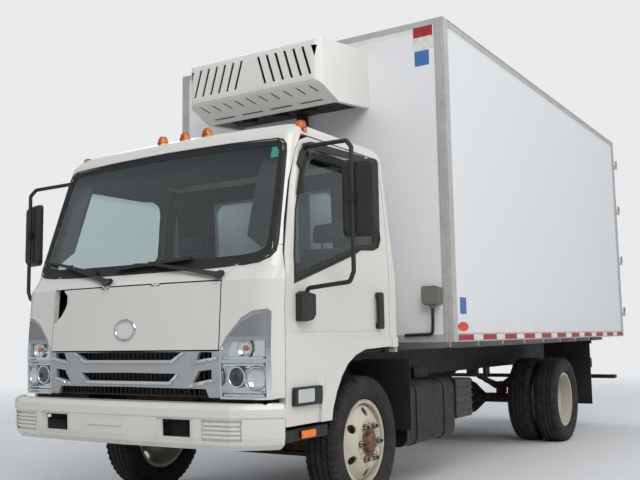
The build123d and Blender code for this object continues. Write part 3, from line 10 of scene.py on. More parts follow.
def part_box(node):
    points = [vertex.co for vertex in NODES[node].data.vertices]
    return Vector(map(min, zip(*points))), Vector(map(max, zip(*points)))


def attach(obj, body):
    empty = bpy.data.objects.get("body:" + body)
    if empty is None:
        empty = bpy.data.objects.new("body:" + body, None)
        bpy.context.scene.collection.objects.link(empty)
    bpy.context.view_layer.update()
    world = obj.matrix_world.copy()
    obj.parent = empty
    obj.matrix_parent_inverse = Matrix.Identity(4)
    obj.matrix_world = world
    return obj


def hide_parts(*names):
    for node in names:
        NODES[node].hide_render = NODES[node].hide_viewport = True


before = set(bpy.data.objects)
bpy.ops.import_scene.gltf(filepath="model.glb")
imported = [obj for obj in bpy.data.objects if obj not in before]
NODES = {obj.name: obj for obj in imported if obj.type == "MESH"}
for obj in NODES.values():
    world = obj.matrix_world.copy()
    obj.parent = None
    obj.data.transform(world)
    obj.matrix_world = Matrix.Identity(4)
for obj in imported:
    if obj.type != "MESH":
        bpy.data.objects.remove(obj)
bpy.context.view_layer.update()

HANDS = (("left", 1), ("right", -1))

# The axles and the tyre, in metres
FRONT_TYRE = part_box("front_tyre_left")
AXLE_Y = (FRONT_TYRE[0].y + FRONT_TYRE[1].y) / 2
WHEELBASE = 3.81
REAR_AXLE_Y = AXLE_Y + WHEELBASE
TYRE_R = 0.4055

# Faces of the body, in millimetres from the middle or the front axle
BODY_FACE = 1219
RAIL_FACE = 1222
WALL_FACE = 730
REAR_FACE = 5655


def place(x, y, z):
    """Millimetres from the front axle as a point of the frame, in metres."""
    return Vector((x / 1000, y / 1000 + AXLE_Y, z / 1000))


def put(name, data):
    """A new object in the scene, for a mesh, a lamp or a camera."""
    item = bpy.data.objects.new(name, data)
    bpy.context.scene.collection.objects.link(item)
    return item


def both(*names):
    """The names of nodes that come in pairs."""
    return [f"{name}_{hand}" for name in names for hand, _ in HANDS]


# Node trees

def linear(code):
    """An sRGB hex colour as the linear colour that the shaders take."""
    parts = [int(code[i:i + 2], 16) / 255 for i in (1, 3, 5)]
    return [c / 12.92 if c <= 0.04045 else ((c + 0.055) / 1.055) ** 2.4 for c in parts] + [1.0]


class Nodes:
    """A node tree being filled, whose inputs take plain values or other nodes' outputs."""

    def __init__(self, tree):
        self.tree = tree
        tree.nodes.clear()

    def fill(self, node, inputs):
        for key, value in inputs.items():
            if isinstance(value, bpy.types.NodeSocket):
                self.tree.links.new(value, node.inputs[key])
            else:
                node.inputs[key].default_value = value

    def add(self, kind, inputs=None, **settings):
        """A new node with its options set and its inputs filled."""
        node = self.tree.nodes.new(kind)
        for key, value in settings.items():
            setattr(node, key, value)
        self.fill(node, inputs or {})
        return node

    def math(self, operation, a, b=0.0):
        return self.add("ShaderNodeMath", {0: a, 1: b}, operation=operation).outputs[0]

    def times(self, a, b):
        return self.math("MULTIPLY", a, b)

    def axis(self, letter, vector):
        """One part of a vector."""
        return self.add("ShaderNodeSeparateXYZ", {0: vector}).outputs[letter]

    def between(self, value, low, high, out_low=0.0, out_high=1.0, **settings):
        """Stretches a value so that low becomes out_low and high becomes out_high."""
        inputs = {0: value, 1: low, 2: high, 3: out_low, 4: out_high}
        return self.add("ShaderNodeMapRange", inputs, **settings).outputs[0]

    def shown(self, lit, seen):
        """One shader for the light and one for what the camera sees, bare or through glass."""
        ray = self.add("ShaderNodeLightPath").outputs
        straight = self.math("MAXIMUM", ray["Is Camera Ray"], ray["Is Transmission Ray"])
        return self.add("ShaderNodeMixShader", {0: straight, 1: lit, 2: seen}).outputs[0]


# Camera, lamps, floor and world

PALE = "#E9EBED"


def add_camera():
    """The photograph's view: the direction, the turns and the lens come from the truck's own sizes."""
    yaw, pitch, roll = radians(32.351), radians(6.564), radians(-0.988)
    ahead = Vector((-sin(yaw) * cos(pitch), cos(yaw) * cos(pitch), sin(pitch)))
    level = Vector((cos(yaw), sin(yaw), 0))
    above = level.cross(ahead)
    right = level * cos(roll) + above * sin(roll)
    top = above * cos(roll) - level * sin(roll)
    camera = put("camera", bpy.data.cameras.new("camera"))
    turn = Matrix((right, top, -ahead)).transposed().to_4x4()
    camera.matrix_world = Matrix.Translation(place(3557, -4641, 1054)) @ turn
    camera.data.lens = 47.49
    camera.data.clip_end = 300
    bpy.context.scene.camera = camera


def add_lamp(name, spot, aim, size, power, colour):
    """A soft square lamp hung at one point and aimed at another."""
    data = bpy.data.lights.new(name, "AREA")
    data.size = size
    data.energy = power
    data.color = colour
    lamp = put(name, data)
    lamp.location = spot
    lamp.rotation_euler = (Vector(aim) - Vector(spot)).to_track_quat("-Z", "Y").to_euler()


def add_world():
    """A bright even sky for the lighting, and the plain pale backdrop for what the camera sees."""
    world = bpy.data.worlds.new("studio")
    bpy.context.scene.world = world
    world.use_nodes = True
    nodes = Nodes(world.node_tree)
    height = nodes.axis("Z", nodes.add("ShaderNodeTexCoord").outputs["Generated"])
    sky = nodes.between(height, -0.15, 0.6, 0.24, 0.66)
    light = nodes.add("ShaderNodeBackground", {"Color": linear("#EFF4FA"), "Strength": sky})
    seen = nodes.add("ShaderNodeBackground", {"Color": linear(PALE), "Strength": 1.0})
    nodes.add("ShaderNodeOutputWorld", {0: nodes.shown(light.outputs[0], seen.outputs[0])})


def add_floor():
    """A wide pale floor that keeps the truck's shadow and fades into the backdrop."""
    data = bpy.data.meshes.new("floor")
    reach = 60
    data.from_pydata([(-reach, -reach, 0), (reach, -reach, 0), (reach, reach, 0), (-reach, reach, 0)], [],
                     [(0, 1, 2, 3)])
    floor = put("floor", data)
    material = bpy.data.materials.new("matte_studio_floor")
    material.use_nodes = True
    nodes = Nodes(material.node_tree)
    spot = nodes.add("ShaderNodeTexCoord").outputs["Object"]
    away = nodes.add("ShaderNodeVectorMath", {0: spot}, operation="LENGTH").outputs["Value"]
    fade = nodes.between(away, 5.5, 16.0, interpolation_type="SMOOTHSTEP")
    lit = nodes.add("ShaderNodeBsdfDiffuse", {"Color": linear("#DCDDDE")}).outputs[0]
    seen = nodes.add("ShaderNodeEmission", {"Color": linear(PALE), "Strength": 1.0}).outputs[0]
    faded = nodes.add("ShaderNodeMixShader", {0: fade, 1: lit, 2: seen}).outputs[0]
    nodes.add("ShaderNodeOutputMaterial", {0: nodes.shown(lit, faded)})
    data.materials.append(material)


bpy.context.scene.view_settings.view_transform = "Standard"
add_camera()
add_world()
add_floor()
add_lamp("key", (7, -9, 9), (0, -1.5, 1.4), 7, 720, (1.0, 0.98, 0.95))
add_lamp("side", (11, 3, 6), (0, 0, 1.6), 7, 360, (1.0, 0.99, 0.97))
add_lamp("back", (-8, 7, 8), (0, 0, 1.6), 7, 320, (0.95, 0.98, 1.0))


# Materials

class Finish(Nodes):
    """A material being made: one shader joined to its output, and the places of points in metres."""

    def __init__(self, name):
        self.material = bpy.data.materials.new(name)
        self.material.use_nodes = True
        super().__init__(self.material.node_tree)
        self.shader = self.add("ShaderNodeBsdfPrincipled")
        self.add("ShaderNodeOutputMaterial", {0: self.shader.outputs[0]})
        self.spot = self.add("ShaderNodeTexCoord").outputs["Object"]

    def give(self, inputs):
        """Fills the shader's inputs."""
        self.fill(self.shader, inputs)

    def bump(self, height, depth, size_mm):
        """Joins a bump of a height in millimetres to the shader."""
        bump = self.add("ShaderNodeBump", {"Height": height, "Strength": depth, "Distance": size_mm / 1000})
        self.give({"Normal": bump.outputs[0]})

    def noise(self, size, detail=3, rough=0.55):
        """Cloudy noise whose patches are about as wide as size, in millimetres."""
        inputs = {"Vector": self.spot, "Scale": 1000 / size, "Detail": detail, "Roughness": rough}
        return self.add("ShaderNodeTexNoise", inputs).outputs["Fac"]

    def patches(self, size, detail, low, high, out_low=0.0, out_high=1.0, rough=0.55):
        """Cloudy noise stretched between two levels."""
        return self.between(self.noise(size, detail, rough), low, high, out_low, out_high)

    def streaks(self, wide, long):
        """Noise drawn out downwards, as rain leaves it on an upright panel."""
        scale = (1000 / wide, 1000 / wide, 1000 / long)
        stretched = self.add("ShaderNodeMapping", {"Vector": self.spot, "Scale": scale}).outputs[0]
        inputs = {"Vector": stretched, "Scale": 1.0, "Detail": 4}
        return self.add("ShaderNodeTexNoise", inputs).outputs["Fac"]

    def blended(self, factor, a, b):
        """A colour mixed from two, which are hex codes or sockets."""
        a = linear(a) if isinstance(a, str) else a
        b = linear(b) if isinstance(b, str) else b
        return self.add("ShaderNodeMix", {0: factor, 6: a, 7: b}, data_type="RGBA").outputs[2]

    def facing_up(self):
        """How far a face looks at the sky, from 0 for upright to 1 for level."""
        normal = self.add("ShaderNodeNewGeometry").outputs["Normal"]
        return self.between(self.axis("Z", normal), 0.25, 0.95)


def painted_steel(name, colour, dust, tint_full_z, tint_top_z, grime):
    """Sprayed enamel or gelcoat: glossy, with rain streaks, and darker towards the bottom: road dust rising
    from below, which on the bumper is also painted shade near the ground.
    """
    paint = Finish(name)
    # Darker towards the bottom: road dust, and on the bumper also painted shade of its low faces.
    low = paint.times(paint.between(paint.axis("Z", paint.spot), tint_top_z, tint_full_z),
                      paint.patches(260, 5, 0.34, 0.66))
    streak = paint.times(paint.between(paint.streaks(90, 1600), 0.5, 0.85), grime)
    paint.base = paint.blended(paint.times(low, 0.4), paint.blended(streak, colour, dust), dust)
    paint.give({"Base Color": paint.base, "Roughness": 0.28, "Coat Weight": 0.35, "Coat Roughness": 0.08})
    return paint


def door_enamel(name, *look):
    """The cab's enamel outside, and dark grained trim on the window frame's inner side."""
    paint = painted_steel(name, *look)
    z = paint.axis("Z", paint.spot)
    skin = paint.between(z, 1.44, 2.29, 0.976, 0.903)
    depth = paint.math("SUBTRACT", skin, paint.math("ABSOLUTE", paint.axis("X", paint.spot)))
    inner = paint.times(paint.between(depth, 0.0, 0.003), paint.between(z, 1.36, 1.37))
    paint.give({"Base Color": paint.blended(inner, paint.base, "#232426")})
    return paint


def rear_leaf(name, *look):
    """Gelcoat leaf whose straps, rods and keepers, all that stands off its face, are zinc-plated steel."""
    paint = painted_steel(name, *look)
    face = REAR_FACE / 1000 + AXLE_Y
    proud = paint.between(paint.axis("Y", paint.spot), face + 0.003, face + 0.004)
    zinc = paint.blended(paint.noise(40, 4), "#A5A5A1", "#7E7A72")
    paint.give({"Base Color": paint.blended(proud, paint.base, zinc), "Metallic": paint.times(proud, 0.7)})
    return paint


def moulded_plastic(name, colour, dust, rough, grain, depth, metal=0.0):
    """Injection-moulded plastic with a fine leather grain that dust settles into."""
    plastic = Finish(name)
    up = plastic.times(plastic.facing_up(), plastic.patches(90, 4, 0.35, 0.7))
    base = plastic.blended(plastic.times(plastic.noise(240, 4), 0.22), colour, dust)
    plastic.give({"Base Color": plastic.blended(plastic.times(up, 0.45), base, dust), "Metallic": metal,
                  "Roughness": plastic.patches(60, 3, 0.3, 0.7, rough - 0.07, rough + 0.08)})
    plastic.bump(plastic.noise(grain, 2), depth, 0.5)
    return plastic


def worn_metal(name, colour, stain, metal, rough, patch, amount, settled_dust=0.5):
    """Bare or painted metal in mottled patches, with dust on what looks up."""
    ware = Finish(name)
    spots = ware.times(ware.patches(patch, 6, 0.42, 0.68, rough=0.62), amount)
    dusty = ware.times(ware.facing_up(), ware.patches(120, 4, 0.3, 0.62, 0.0, settled_dust))
    base = ware.blended(dusty, ware.blended(spots, colour, stain), "#7A7163")
    ware.give({"Base Color": base, "Metallic": metal,
               "Roughness": ware.patches(40, 4, 0.3, 0.7, rough - 0.1, rough + 0.14)})
    ware.bump(ware.noise(6, 4), 0.2, 0.5)
    return ware


def clear_glass(name, colour, rough=0.0, shade=None):
    """Float glass or clear plastic, tinted through, with a darker band along its top where asked."""
    glass = Finish(name)
    base = linear(colour)
    if shade:
        base = glass.blended(glass.between(glass.axis("Z", glass.spot), 2.04, 2.13), colour, shade)
    glass.give({"Base Color": base, "Transmission Weight": 1.0, "Roughness": rough, "IOR": 1.45})
    return glass


def mirror_metal(name, colour, rough):
    """Vacuum-plated chrome or silvered glass: a near mirror with a faint haze."""
    plating = Finish(name)
    plating.give({"Base Color": linear(colour), "Metallic": 1.0,
                  "Roughness": plating.patches(80, 4, 0.3, 0.7, rough, rough + 0.1)})
    return plating


def wheel_enamel(name, axle_y):
    """Cream wheel enamel, chipped to rust round the hub and the nuts and dusty towards the rim."""
    paint = Finish(name)
    flat = paint.add("ShaderNodeVectorMath", {0: paint.spot, 1: (0, 1, 1)}, operation="MULTIPLY").outputs[0]
    centre = (0, axle_y, TYRE_R)
    radius = paint.add("ShaderNodeVectorMath", {0: flat, 1: centre}, operation="DISTANCE").outputs["Value"]
    hub = paint.between(radius, 0.098, 0.082)
    chips = paint.times(paint.between(radius, 0.155, 0.095), paint.patches(28, 5, 0.46, 0.62))
    edge = paint.times(paint.between(radius, 0.236, 0.262), paint.patches(30, 5, 0.45, 0.65))
    base = paint.blended(paint.times(paint.noise(90, 5), 0.5), "#CBC6B8", "#A2967F")
    base = paint.blended(paint.math("MAXIMUM", chips, paint.times(edge, 0.7)), base, "#6E4427")
    iron = paint.blended(paint.patches(22, 5, 0.35, 0.65), "#4A3224", "#7C5233")
    paint.give({"Base Color": paint.blended(hub, base, iron),
                "Roughness": paint.patches(50, 3, 0.3, 0.7, 0.38, 0.6)})
    paint.bump(paint.noise(5, 4), 0.25, 0.5)
    return paint


def woven_cloth(name, colour, thread):
    """Flat-woven polyester seat cloth, its weave drawn 6 mm wide so that it shows."""
    cloth = Finish(name)
    warp, weft = (cloth.add("ShaderNodeTexWave", {"Vector": cloth.spot, "Scale": 52.0, "Distortion": 0.4},
                            bands_direction=way).outputs["Fac"] for way in "XY")
    cross = cloth.times(warp, weft)
    cloth.give({"Base Color": cloth.blended(cross, colour, thread), "Roughness": 0.9, "Sheen Weight": 0.3})
    cloth.bump(cross, 0.4, 0.8)
    return cloth


def road_rubber(name):
    """Vulcanised tyre rubber: matt black, greyed in patches by dry road dust."""
    rubber = Finish(name)
    dust = rubber.patches(70, 6, 0.4, 0.72, rough=0.6)
    rubber.give({"Base Color": rubber.blended(rubber.times(dust, 0.5), "#131314", "#403B36"),
                 "Roughness": rubber.patches(40, 4, 0.3, 0.7, 0.66, 0.88)})
    rubber.bump(rubber.noise(8, 4), 0.25, 0.6)
    return rubber


def plain_sheet(name, colour, rough, glow=0.0):
    """Printed vinyl film or enamel in one colour, a little soiled."""
    film = Finish(name)
    soil = film.times(film.patches(30, 5, 0.45, 0.75), 0.35)
    film.give({"Base Color": film.blended(soil, colour, "#7D7367"), "Roughness": rough,
               "Emission Color": linear(colour), "Emission Strength": glow})
    return film


CAB_LOOK = ("#D8D6D0", "#B0A795", 0.42, 0.9, 0.04)
CAB_PAINT = painted_steel("cab_enamel", *CAB_LOOK)
DOOR_PAINT = door_enamel("door_enamel", *CAB_LOOK)
# The bumper's darker tint, full lower down, is partly road dust and partly painted shade from the ground
# below it.
BUMPER_PAINT = painted_steel("bumper_enamel", "#D6D4CD", "#A09788", 0.36, 0.62, 0.08)
BODY_PANEL = painted_steel("gelcoat_panel", "#E7E8EA", "#C4BFB4", 0.95, 1.3, 0.03)
REAR_LEAF = rear_leaf("rear_leaf_gelcoat", "#E4E5E7", "#BFB9AE", 0.95, 1.3, 0.05)
ROOF_PANEL = painted_steel("roof_gelcoat", "#E2E2DE", "#9C968A", 0.9, 1.2, 0.3)
UNIT_PLASTIC = moulded_plastic("thermoformed_abs", "#E4E4DF", "#B3AD9E", 0.36, 5, 0.06)
ALUMINIUM = worn_metal("mill_finish_aluminium", "#C6C5C2", "#9C9993", 0.45, 0.45, 160, 0.4, 0.3)
CHASSIS_BLACK = worn_metal("chassis_enamel", "#121212", "#2A2622", 0.0, 0.5, 150, 0.6, 0.16)
IRON = worn_metal("rusty_cast_iron", "#33291F", "#66432A", 0.25, 0.75, 60, 0.9)
BLACK_PLASTIC = moulded_plastic("grained_polypropylene", "#151516", "#4D4841", 0.5, 4, 0.12)
GLOSS_BLACK = moulded_plastic("gloss_black_abs", "#0C0C0D", "#3C3833", 0.18, 6, 0.02)
BOX_PLASTIC = moulded_plastic("dark_polyethylene", "#343434", "#4C4841", 0.5, 5, 0.12)
FROSTED = moulded_plastic("frosted_lamp_lens", "#BFC4C6", "#8F8A80", 0.14, 20, 0.02)
GREY_PLASTIC = moulded_plastic("grey_polyethylene", "#6F6E6A", "#8F8676", 0.5, 5, 0.12)
SILVER = moulded_plastic("silver_painted_abs", "#B4B6B7", "#98948B", 0.36, 6, 0.0, 0.45)
DARK_SILVER = moulded_plastic("dark_silver_abs", "#94979A", "#77716A", 0.34, 6, 0.03, 0.5)
CHROME = mirror_metal("plated_chrome", "#DADCDE", 0.05)
SILVERED = mirror_metal("silvered_mirror_glass", "#CFD4D4", 0.02)
WINDSHIELD = clear_glass("float_glass_with_shade_band", "#D4DEDE", 0.0, "#86A8B0")
LENS = clear_glass("clear_polycarbonate", "#EEF2F2", 0.02)
AMBER = clear_glass("amber_acrylic", "#F0811C", 0.08)
RED_LENS = clear_glass("red_acrylic", "#C4120F", 0.06)
RUBBER = moulded_plastic("black_seal_rubber", "#121213", "#3B3733", 0.62, 4, 0.15)
TYRE = road_rubber("tyre_rubber")
FRONT_WHEEL = wheel_enamel("front_wheel_enamel", AXLE_Y)
REAR_WHEEL = wheel_enamel("rear_wheel_enamel", REAR_AXLE_Y)
CLOTH = woven_cloth("woven_seat_cloth", "#33363A", "#5B6066")
TAPE_RED = plain_sheet("red_reflective_film", "#A81C26", 0.32)
TAPE_WHITE = plain_sheet("white_reflective_film", "#E2E0DA", 0.32)
BLUE_FILM = plain_sheet("blue_vinyl_film", "#3B6FB0", 0.35)
TEAL_FILM = plain_sheet("teal_vinyl_film", "#2E8E86", 0.35)
ORANGE_FILM = plain_sheet("orange_vinyl_film", "#D8472B", 0.35)
PROJECTOR = moulded_plastic("projector_lens_glass", "#101418", "#20242A", 0.1, 40, 0.0)
DARK_TRIM = moulded_plastic("grained_trim_board", "#26272A", "#4A463F", 0.62, 4, 0.15)
HEADLINING = moulded_plastic("foam_backed_headlining", "#5A5C5C", "#6A655C", 0.9, 3, 0.2)
AMBER_PLASTIC = plain_sheet("amber_bulb_glass", "#E8761A", 0.25, 0.1)

FINISHES = {
    CAB_PAINT: ("cab_front", "cab_sides", "cab_rear_wall", "cab_roof", "front_panel"),
    DOOR_PAINT: both("door"),
    BUMPER_PAINT: ("front_bumper",),
    BODY_PANEL: ("body_side_walls", "body_front_wall"),
    REAR_LEAF: both("rear_door"),
    ROOF_PANEL: ("body_roof",),
    UNIT_PLASTIC: ("cooling_cover",),
    ALUMINIUM: ("body_rails", "body_rear_frame", "body_floor"),
    CHASSIS_BLACK: ("frame", "fuel_tank", "rear_step", "cooling_core", "cab_floor", "exhaust"),
    IRON: ("front_axle", "rear_axle", "leaf_springs", "engine", *both("knuckle"), "tie_rod"),
    BLACK_PLASTIC: (*both("mirror", "door_trim"), "wipers", "mudguards", "grille_ribs", "dashboard",
                    "steering_wheel", "standby_cable"),
    GREY_PLASTIC: ("standby_inlet",),
    BOX_PLASTIC: ("battery_box",),
    SILVER: ("grille",),
    CHROME: ("headlamps",),
    WINDSHIELD: ("cab_glass", *both("door_glass")),
    LENS: ("headlamp_lenses",),
    AMBER: ("marker_lamps",),
    FRONT_WHEEL: both("front_wheel"),
    REAR_WHEEL: both("rear_wheels"),
    TYRE: both("front_tyre", "rear_tyres"),
    CLOTH: ("seats",),
}
for finish, names in FINISHES.items():
    for name in names:
        NODES[name].data.materials.clear()
        NODES[name].data.materials.append(finish.material)


# Skins of the CAD to lay pieces on

FAR_AHEAD = -1500
FAR_OUT = 1400


def surface(*names):
    """The faces of some CAD nodes, for rays to meet."""
    points, faces = [], []
    for name in names:
        mesh = NODES[name].data
        first = len(points)
        points += [v.co.copy() for v in mesh.vertices]
        faces += [[first + i for i in p.vertices] for p in mesh.polygons]
    return BVHTree.FromPolygons(points, faces)


FRONT_SKIN = surface("cab_front", "cab_glass", "front_panel", "cab_roof", "grille", "headlamps",
                     "headlamp_lenses")
SIDE_SKIN = surface(*both("door", "door_glass"), "cab_sides", "cab_front", "cab_roof")
TRIM_SKIN = surface(*both("door_trim"))


def cast(skin, start, ahead, lift):
    """Where a ray meets a skin, stood off back along it by a lift in millimetres, or nothing."""
    hit = skin.ray_cast(start, ahead)[0]
    return None if hit is None else hit - ahead * (lift / 1000)


def on_front(x, z, lift):
    """A point of the cab's front at a place across and a height."""
    return cast(FRONT_SKIN, place(x, FAR_AHEAD, z), Vector((0, 1, 0)), lift)


def on_side(side, skin=SIDE_SKIN):
    """Gives points of a side of the cab at a distance back and a height."""
    return lambda y, z, lift: cast(skin, place(side * FAR_OUT, y, z), Vector((-side, 0, 0)), lift)


def beside(side, face):
    """Gives points of an upright plane along the truck, at a distance back and a height."""
    return lambda y, z, lift: place(side * (face + lift), y, z)


def behind(off=0):
    """Gives points of an upright plane across the rear, at a place across and a height."""
    return lambda x, z, lift: place(x, REAR_FACE + off + lift, z)


def on_body_front(x, z, lift):
    """A point of the body's front wall at a place across and a height."""
    return place(x, WALL_FACE - lift, z)


# Outlines: closed rows of point pairs, in millimetres

def grown(points, by):
    """An outline moved outwards by a margin, or inwards below zero."""
    area = sum(a[0] * b[1] - b[0] * a[1] for a, b in zip(points, points[1:] + points[:1]))
    hand = 1 if area > 0 else -1
    moved = []
    for before, here, after in zip(points[-1:] + points[:-1], points, points[1:] + points[:1]):
        edge0 = Vector((here[0] - before[0], here[1] - before[1])).normalized()
        edge1 = Vector((after[0] - here[0], after[1] - here[1])).normalized()
        out = Vector((edge0.y + edge1.y, -edge0.x - edge1.x)) * hand
        if out.length < 0.01:
            out = Vector((edge0.y, -edge0.x)) * hand
        out.normalize()
        square = max(0.45, out.dot(Vector((edge0.y, -edge0.x)) * hand))
        moved.append((here[0] + out.x * by / square, here[1] + out.y * by / square))
    return moved


def finer(step, *outlines):
    """Matching outlines with points added until no side of the first is longer than a step."""
    first = outlines[0]
    counts = [max(1, int(dist(a, b) // step)) for a, b in zip(first, first[1:] + first[:1])]
    return [[(a[0] + (b[0] - a[0]) * i / count, a[1] + (b[1] - a[1]) * i / count)
             for a, b, count in zip(outline, outline[1:] + outline[:1], counts) for i in range(count)]
            for outline in outlines]


def within(spot, outline):
    """Whether a point lies inside an outline."""
    inside = False
    for a, b in zip(outline, outline[1:] + outline[:1]):
        if (a[1] > spot[1]) != (b[1] > spot[1]):
            if spot[0] < (b[0] - a[0]) * (spot[1] - a[1]) / (b[1] - a[1]) + a[0]:
                inside = not inside
    return inside


def landed(spot, lay):
    """The spot, or the nearest one round it that lies over the surface."""
    for reach in (0, 1, 2, 4, 8, 12):
        for i in range(8):
            near = spot + Vector((cos(i * pi / 4), sin(i * pi / 4))) * reach
            if lay(near.x, near.y, 0) is not None:
                return near
    raise ValueError(f"no surface under {spot}")


def rounded(low, high, radius, steps=5):
    """A rectangle with round corners between two corner points."""
    out = []
    for cx, cy, start in ((high[0] - radius, high[1] - radius, 0), (low[0] + radius, high[1] - radius, 1),
                          (low[0] + radius, low[1] + radius, 2), (high[0] - radius, low[1] + radius, 3)):
        for i in range(steps + 1):
            turn = (start + i / steps) * pi / 2
            out.append((cx + radius * cos(turn), cy + radius * sin(turn)))
    return out


def panel(side, across, heights, radius):
    """A rectangle with round corners on the truck's left or right."""
    low, high = sorted(side * x for x in across)
    return rounded((low, heights[0]), (high, heights[1]), radius)


def oval(a, b, half_a, half_b, steps=48):
    """An ellipse about a middle point."""
    turns = [2 * pi * i / steps for i in range(steps)]
    return [(a + half_a * cos(turn), b + half_b * sin(turn)) for turn in turns]


def flipped(outline):
    """The same points on the truck's other side."""
    return [(-x, z) for x, z in outline]


def ring(points):
    """Both halves of an outline given for the truck's left."""
    return points + [(-x, z) for x, z in reversed(points) if x > 0]


def spread(low, high, count):
    """Evenly spaced values, both ends among them."""
    return [low + (high - low) * i / (count - 1) for i in range(count)]


# Making meshes

SMOOTH_ANGLE = radians(38)
BEVEL_ANGLE = radians(40)
SKEW = Vector((0.31, 0.52, 0.79))


def settled(item):
    """The object with its modifiers worked into a plain mesh."""
    if item.modifiers:
        graph = bpy.context.evaluated_depsgraph_get()
        data = bpy.data.meshes.new_from_object(item.evaluated_get(graph))
        item.modifiers.clear()
        item.data = data
    return item


def dressed(item, body, smooth=True):
    """The object shaded, and riding on its body where it has one."""
    if smooth:
        item.data.shade_smooth()
        item.data.set_sharp_from_angle(angle=SMOOTH_ANGLE)
    if body:
        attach(item, body)
    return item


class Build:
    """Collects the faces of one piece, in metres."""

    def __init__(self):
        self.mesh = bmesh.new()

    def grid(self, rows, close_rows=False, close_columns=False):
        """Joins rows of points, each as long as the next, into a sheet or a ring."""
        verts = [[self.mesh.verts.new(p) for p in row] for row in rows]
        count, wide = len(rows), len(rows[0])
        for i in range(count if close_rows else count - 1):
            for j in range(wide if close_columns else wide - 1):
                a, b = verts[i], verts[(i + 1) % count]
                self.mesh.faces.new((a[j], a[(j + 1) % wide], b[(j + 1) % wide], b[j]))
        return verts

    def block(self, x, y, z):
        """A block between (low, high) pairs in millimetres."""
        v = [self.mesh.verts.new(place(x[i & 1], y[i >> 1 & 1], z[i >> 2 & 1])) for i in range(8)]
        for face in ((0, 2, 3, 1), (4, 5, 7, 6), (0, 1, 5, 4), (2, 6, 7, 3), (0, 4, 6, 2), (1, 3, 7, 5)):
            self.mesh.faces.new([v[i] for i in face])

    def patch(self, outline, lay, lift, step, wall):
        """A thin plate with a closed outline, draped on a surface and walled down to it."""
        rim = finer(step, outline)[0]
        rim = [a for a, b in zip(rim, rim[1:] + rim[:1]) if (a[0] - b[0]) ** 2 + (a[1] - b[1]) ** 2 > 0.01]
        count = len(rim)
        low_a, high_a = min(p[0] for p in rim), max(p[0] for p in rim)
        low_b, high_b = min(p[1] for p in rim), max(p[1] for p in rim)
        inside = []
        for i in range(1, int((high_a - low_a) / step)):
            for j in range(1, int((high_b - low_b) / step)):
                spot = (low_a + i * step, low_b + j * step)
                nearest = min((spot[0] - p[0]) ** 2 + (spot[1] - p[1]) ** 2 for p in rim)
                if within(spot, rim) and nearest > step ** 2 / 4:
                    inside.append(spot)
        edges = [(i, (i + 1) % count) for i in range(count)]
        flat = [Vector(p) for p in rim + inside]
        points, _, faces, _, _, _ = delaunay_2d_cdt(flat, edges, [], 1, 0.001)
        points = [landed(p, lay) for p in points]
        top = [self.mesh.verts.new(lay(p.x, p.y, lift)) for p in points]
        for face in faces:
            self.mesh.faces.new([top[i] for i in face])
        low = [self.mesh.verts.new(lay(p.x, p.y, lift - wall)) for p in points[:count]]
        for i in range(count):
            self.mesh.faces.new((top[i], top[(i + 1) % count], low[(i + 1) % count], low[i]))

    def band(self, outer, inner, lay, lifts):
        """A raised strip between two matching outlines, laid on a surface."""
        rows = []
        for o, i in zip(outer, inner):
            row = [lay(o[0] + (i[0] - o[0]) * share, o[1] + (i[1] - o[1]) * share, lift)
                   for share, lift in lifts]
            if None not in row:
                rows.append(row)
        self.grid(rows, close_rows=True, close_columns=True)

    def turned(self, profile, centre, axis, steps):
        """Turns (along, radius) pairs in millimetres about an axis through a point."""
        axis = Vector(axis).normalized()
        side = axis.orthogonal().normalized()
        other = axis.cross(side)
        rows = []
        for i in range(steps):
            turn = 2 * pi * i / steps
            out = side * cos(turn) + other * sin(turn)
            rows.append([centre + axis * (a / 1000) + out * (r / 1000) for a, r in profile])
        verts = self.grid(rows, close_rows=True)
        for end in (0, -1):
            if profile[end][1] > 0.01:
                self.mesh.faces.new([row[end] for row in verts])

    def tube(self, points, radius, sides=8, closed=False):
        """A round rod along points in metres."""
        rows = []
        count = len(points)
        for i, here in enumerate(points):
            before = points[i - 1] if i or closed else here
            after = points[(i + 1) % count] if i < count - 1 or closed else here
            ahead = (after - before).normalized()
            side = ahead.cross(SKEW).normalized()
            other = ahead.cross(side)
            turns = [2 * pi * j / sides for j in range(sides)]
            rows.append([here + (side * cos(turn) + other * sin(turn)) * radius / 1000 for turn in turns])
        verts = self.grid(rows, close_rows=closed, close_columns=True)
        if not closed:
            self.mesh.faces.new(verts[0])
            self.mesh.faces.new(verts[-1])

    def lining(self, skin, starts, ahead, lift, longest=0.13):
        """A sheet over a grid of rays shot at a skin, with no cell that has too long a side."""
        verts = {}
        for i, line in enumerate(starts):
            for j, start in enumerate(line):
                spot = cast(skin, start, ahead, lift)
                if spot is not None:
                    verts[i, j] = self.mesh.verts.new(spot)
        for i in range(len(starts) - 1):
            for j in range(len(starts[0]) - 1):
                corners = [(i, j), (i + 1, j), (i + 1, j + 1), (i, j + 1)]
                if all(c in verts for c in corners):
                    cell = [verts[c] for c in corners]
                    if max((a.co - b.co).length for a, b in zip(cell, cell[1:] + cell[:1])) < longest:
                        self.mesh.faces.new(cell)
        loose = [v for v in self.mesh.verts if not v.link_faces]
        bmesh.ops.delete(self.mesh, geom=loose, context="VERTS")

    def piece(self, name, finish, body=None, slot=None, bevel=0.0, smooth=True, thick=0.0):
        """Ends the piece: its normals, wall and edges, and the body that it rides on."""
        bmesh.ops.recalc_face_normals(self.mesh, faces=self.mesh.faces)
        data = bpy.data.meshes.new(name)
        self.mesh.to_mesh(data)
        self.mesh.free()
        item = put(name, data)
        if thick:
            wall = item.modifiers.new("wall", "SOLIDIFY")
            wall.thickness = thick / 1000
            wall.offset = 0
        if bevel:
            edge = item.modifiers.new("edge", "BEVEL")
            edge.width = bevel / 1000
            edge.segments = 2
            edge.limit_method = "ANGLE"
            edge.angle_limit = BEVEL_ANGLE
        item = settled(item)
        item.data.materials.append(finish.material)
        return dressed(item, body, smooth)


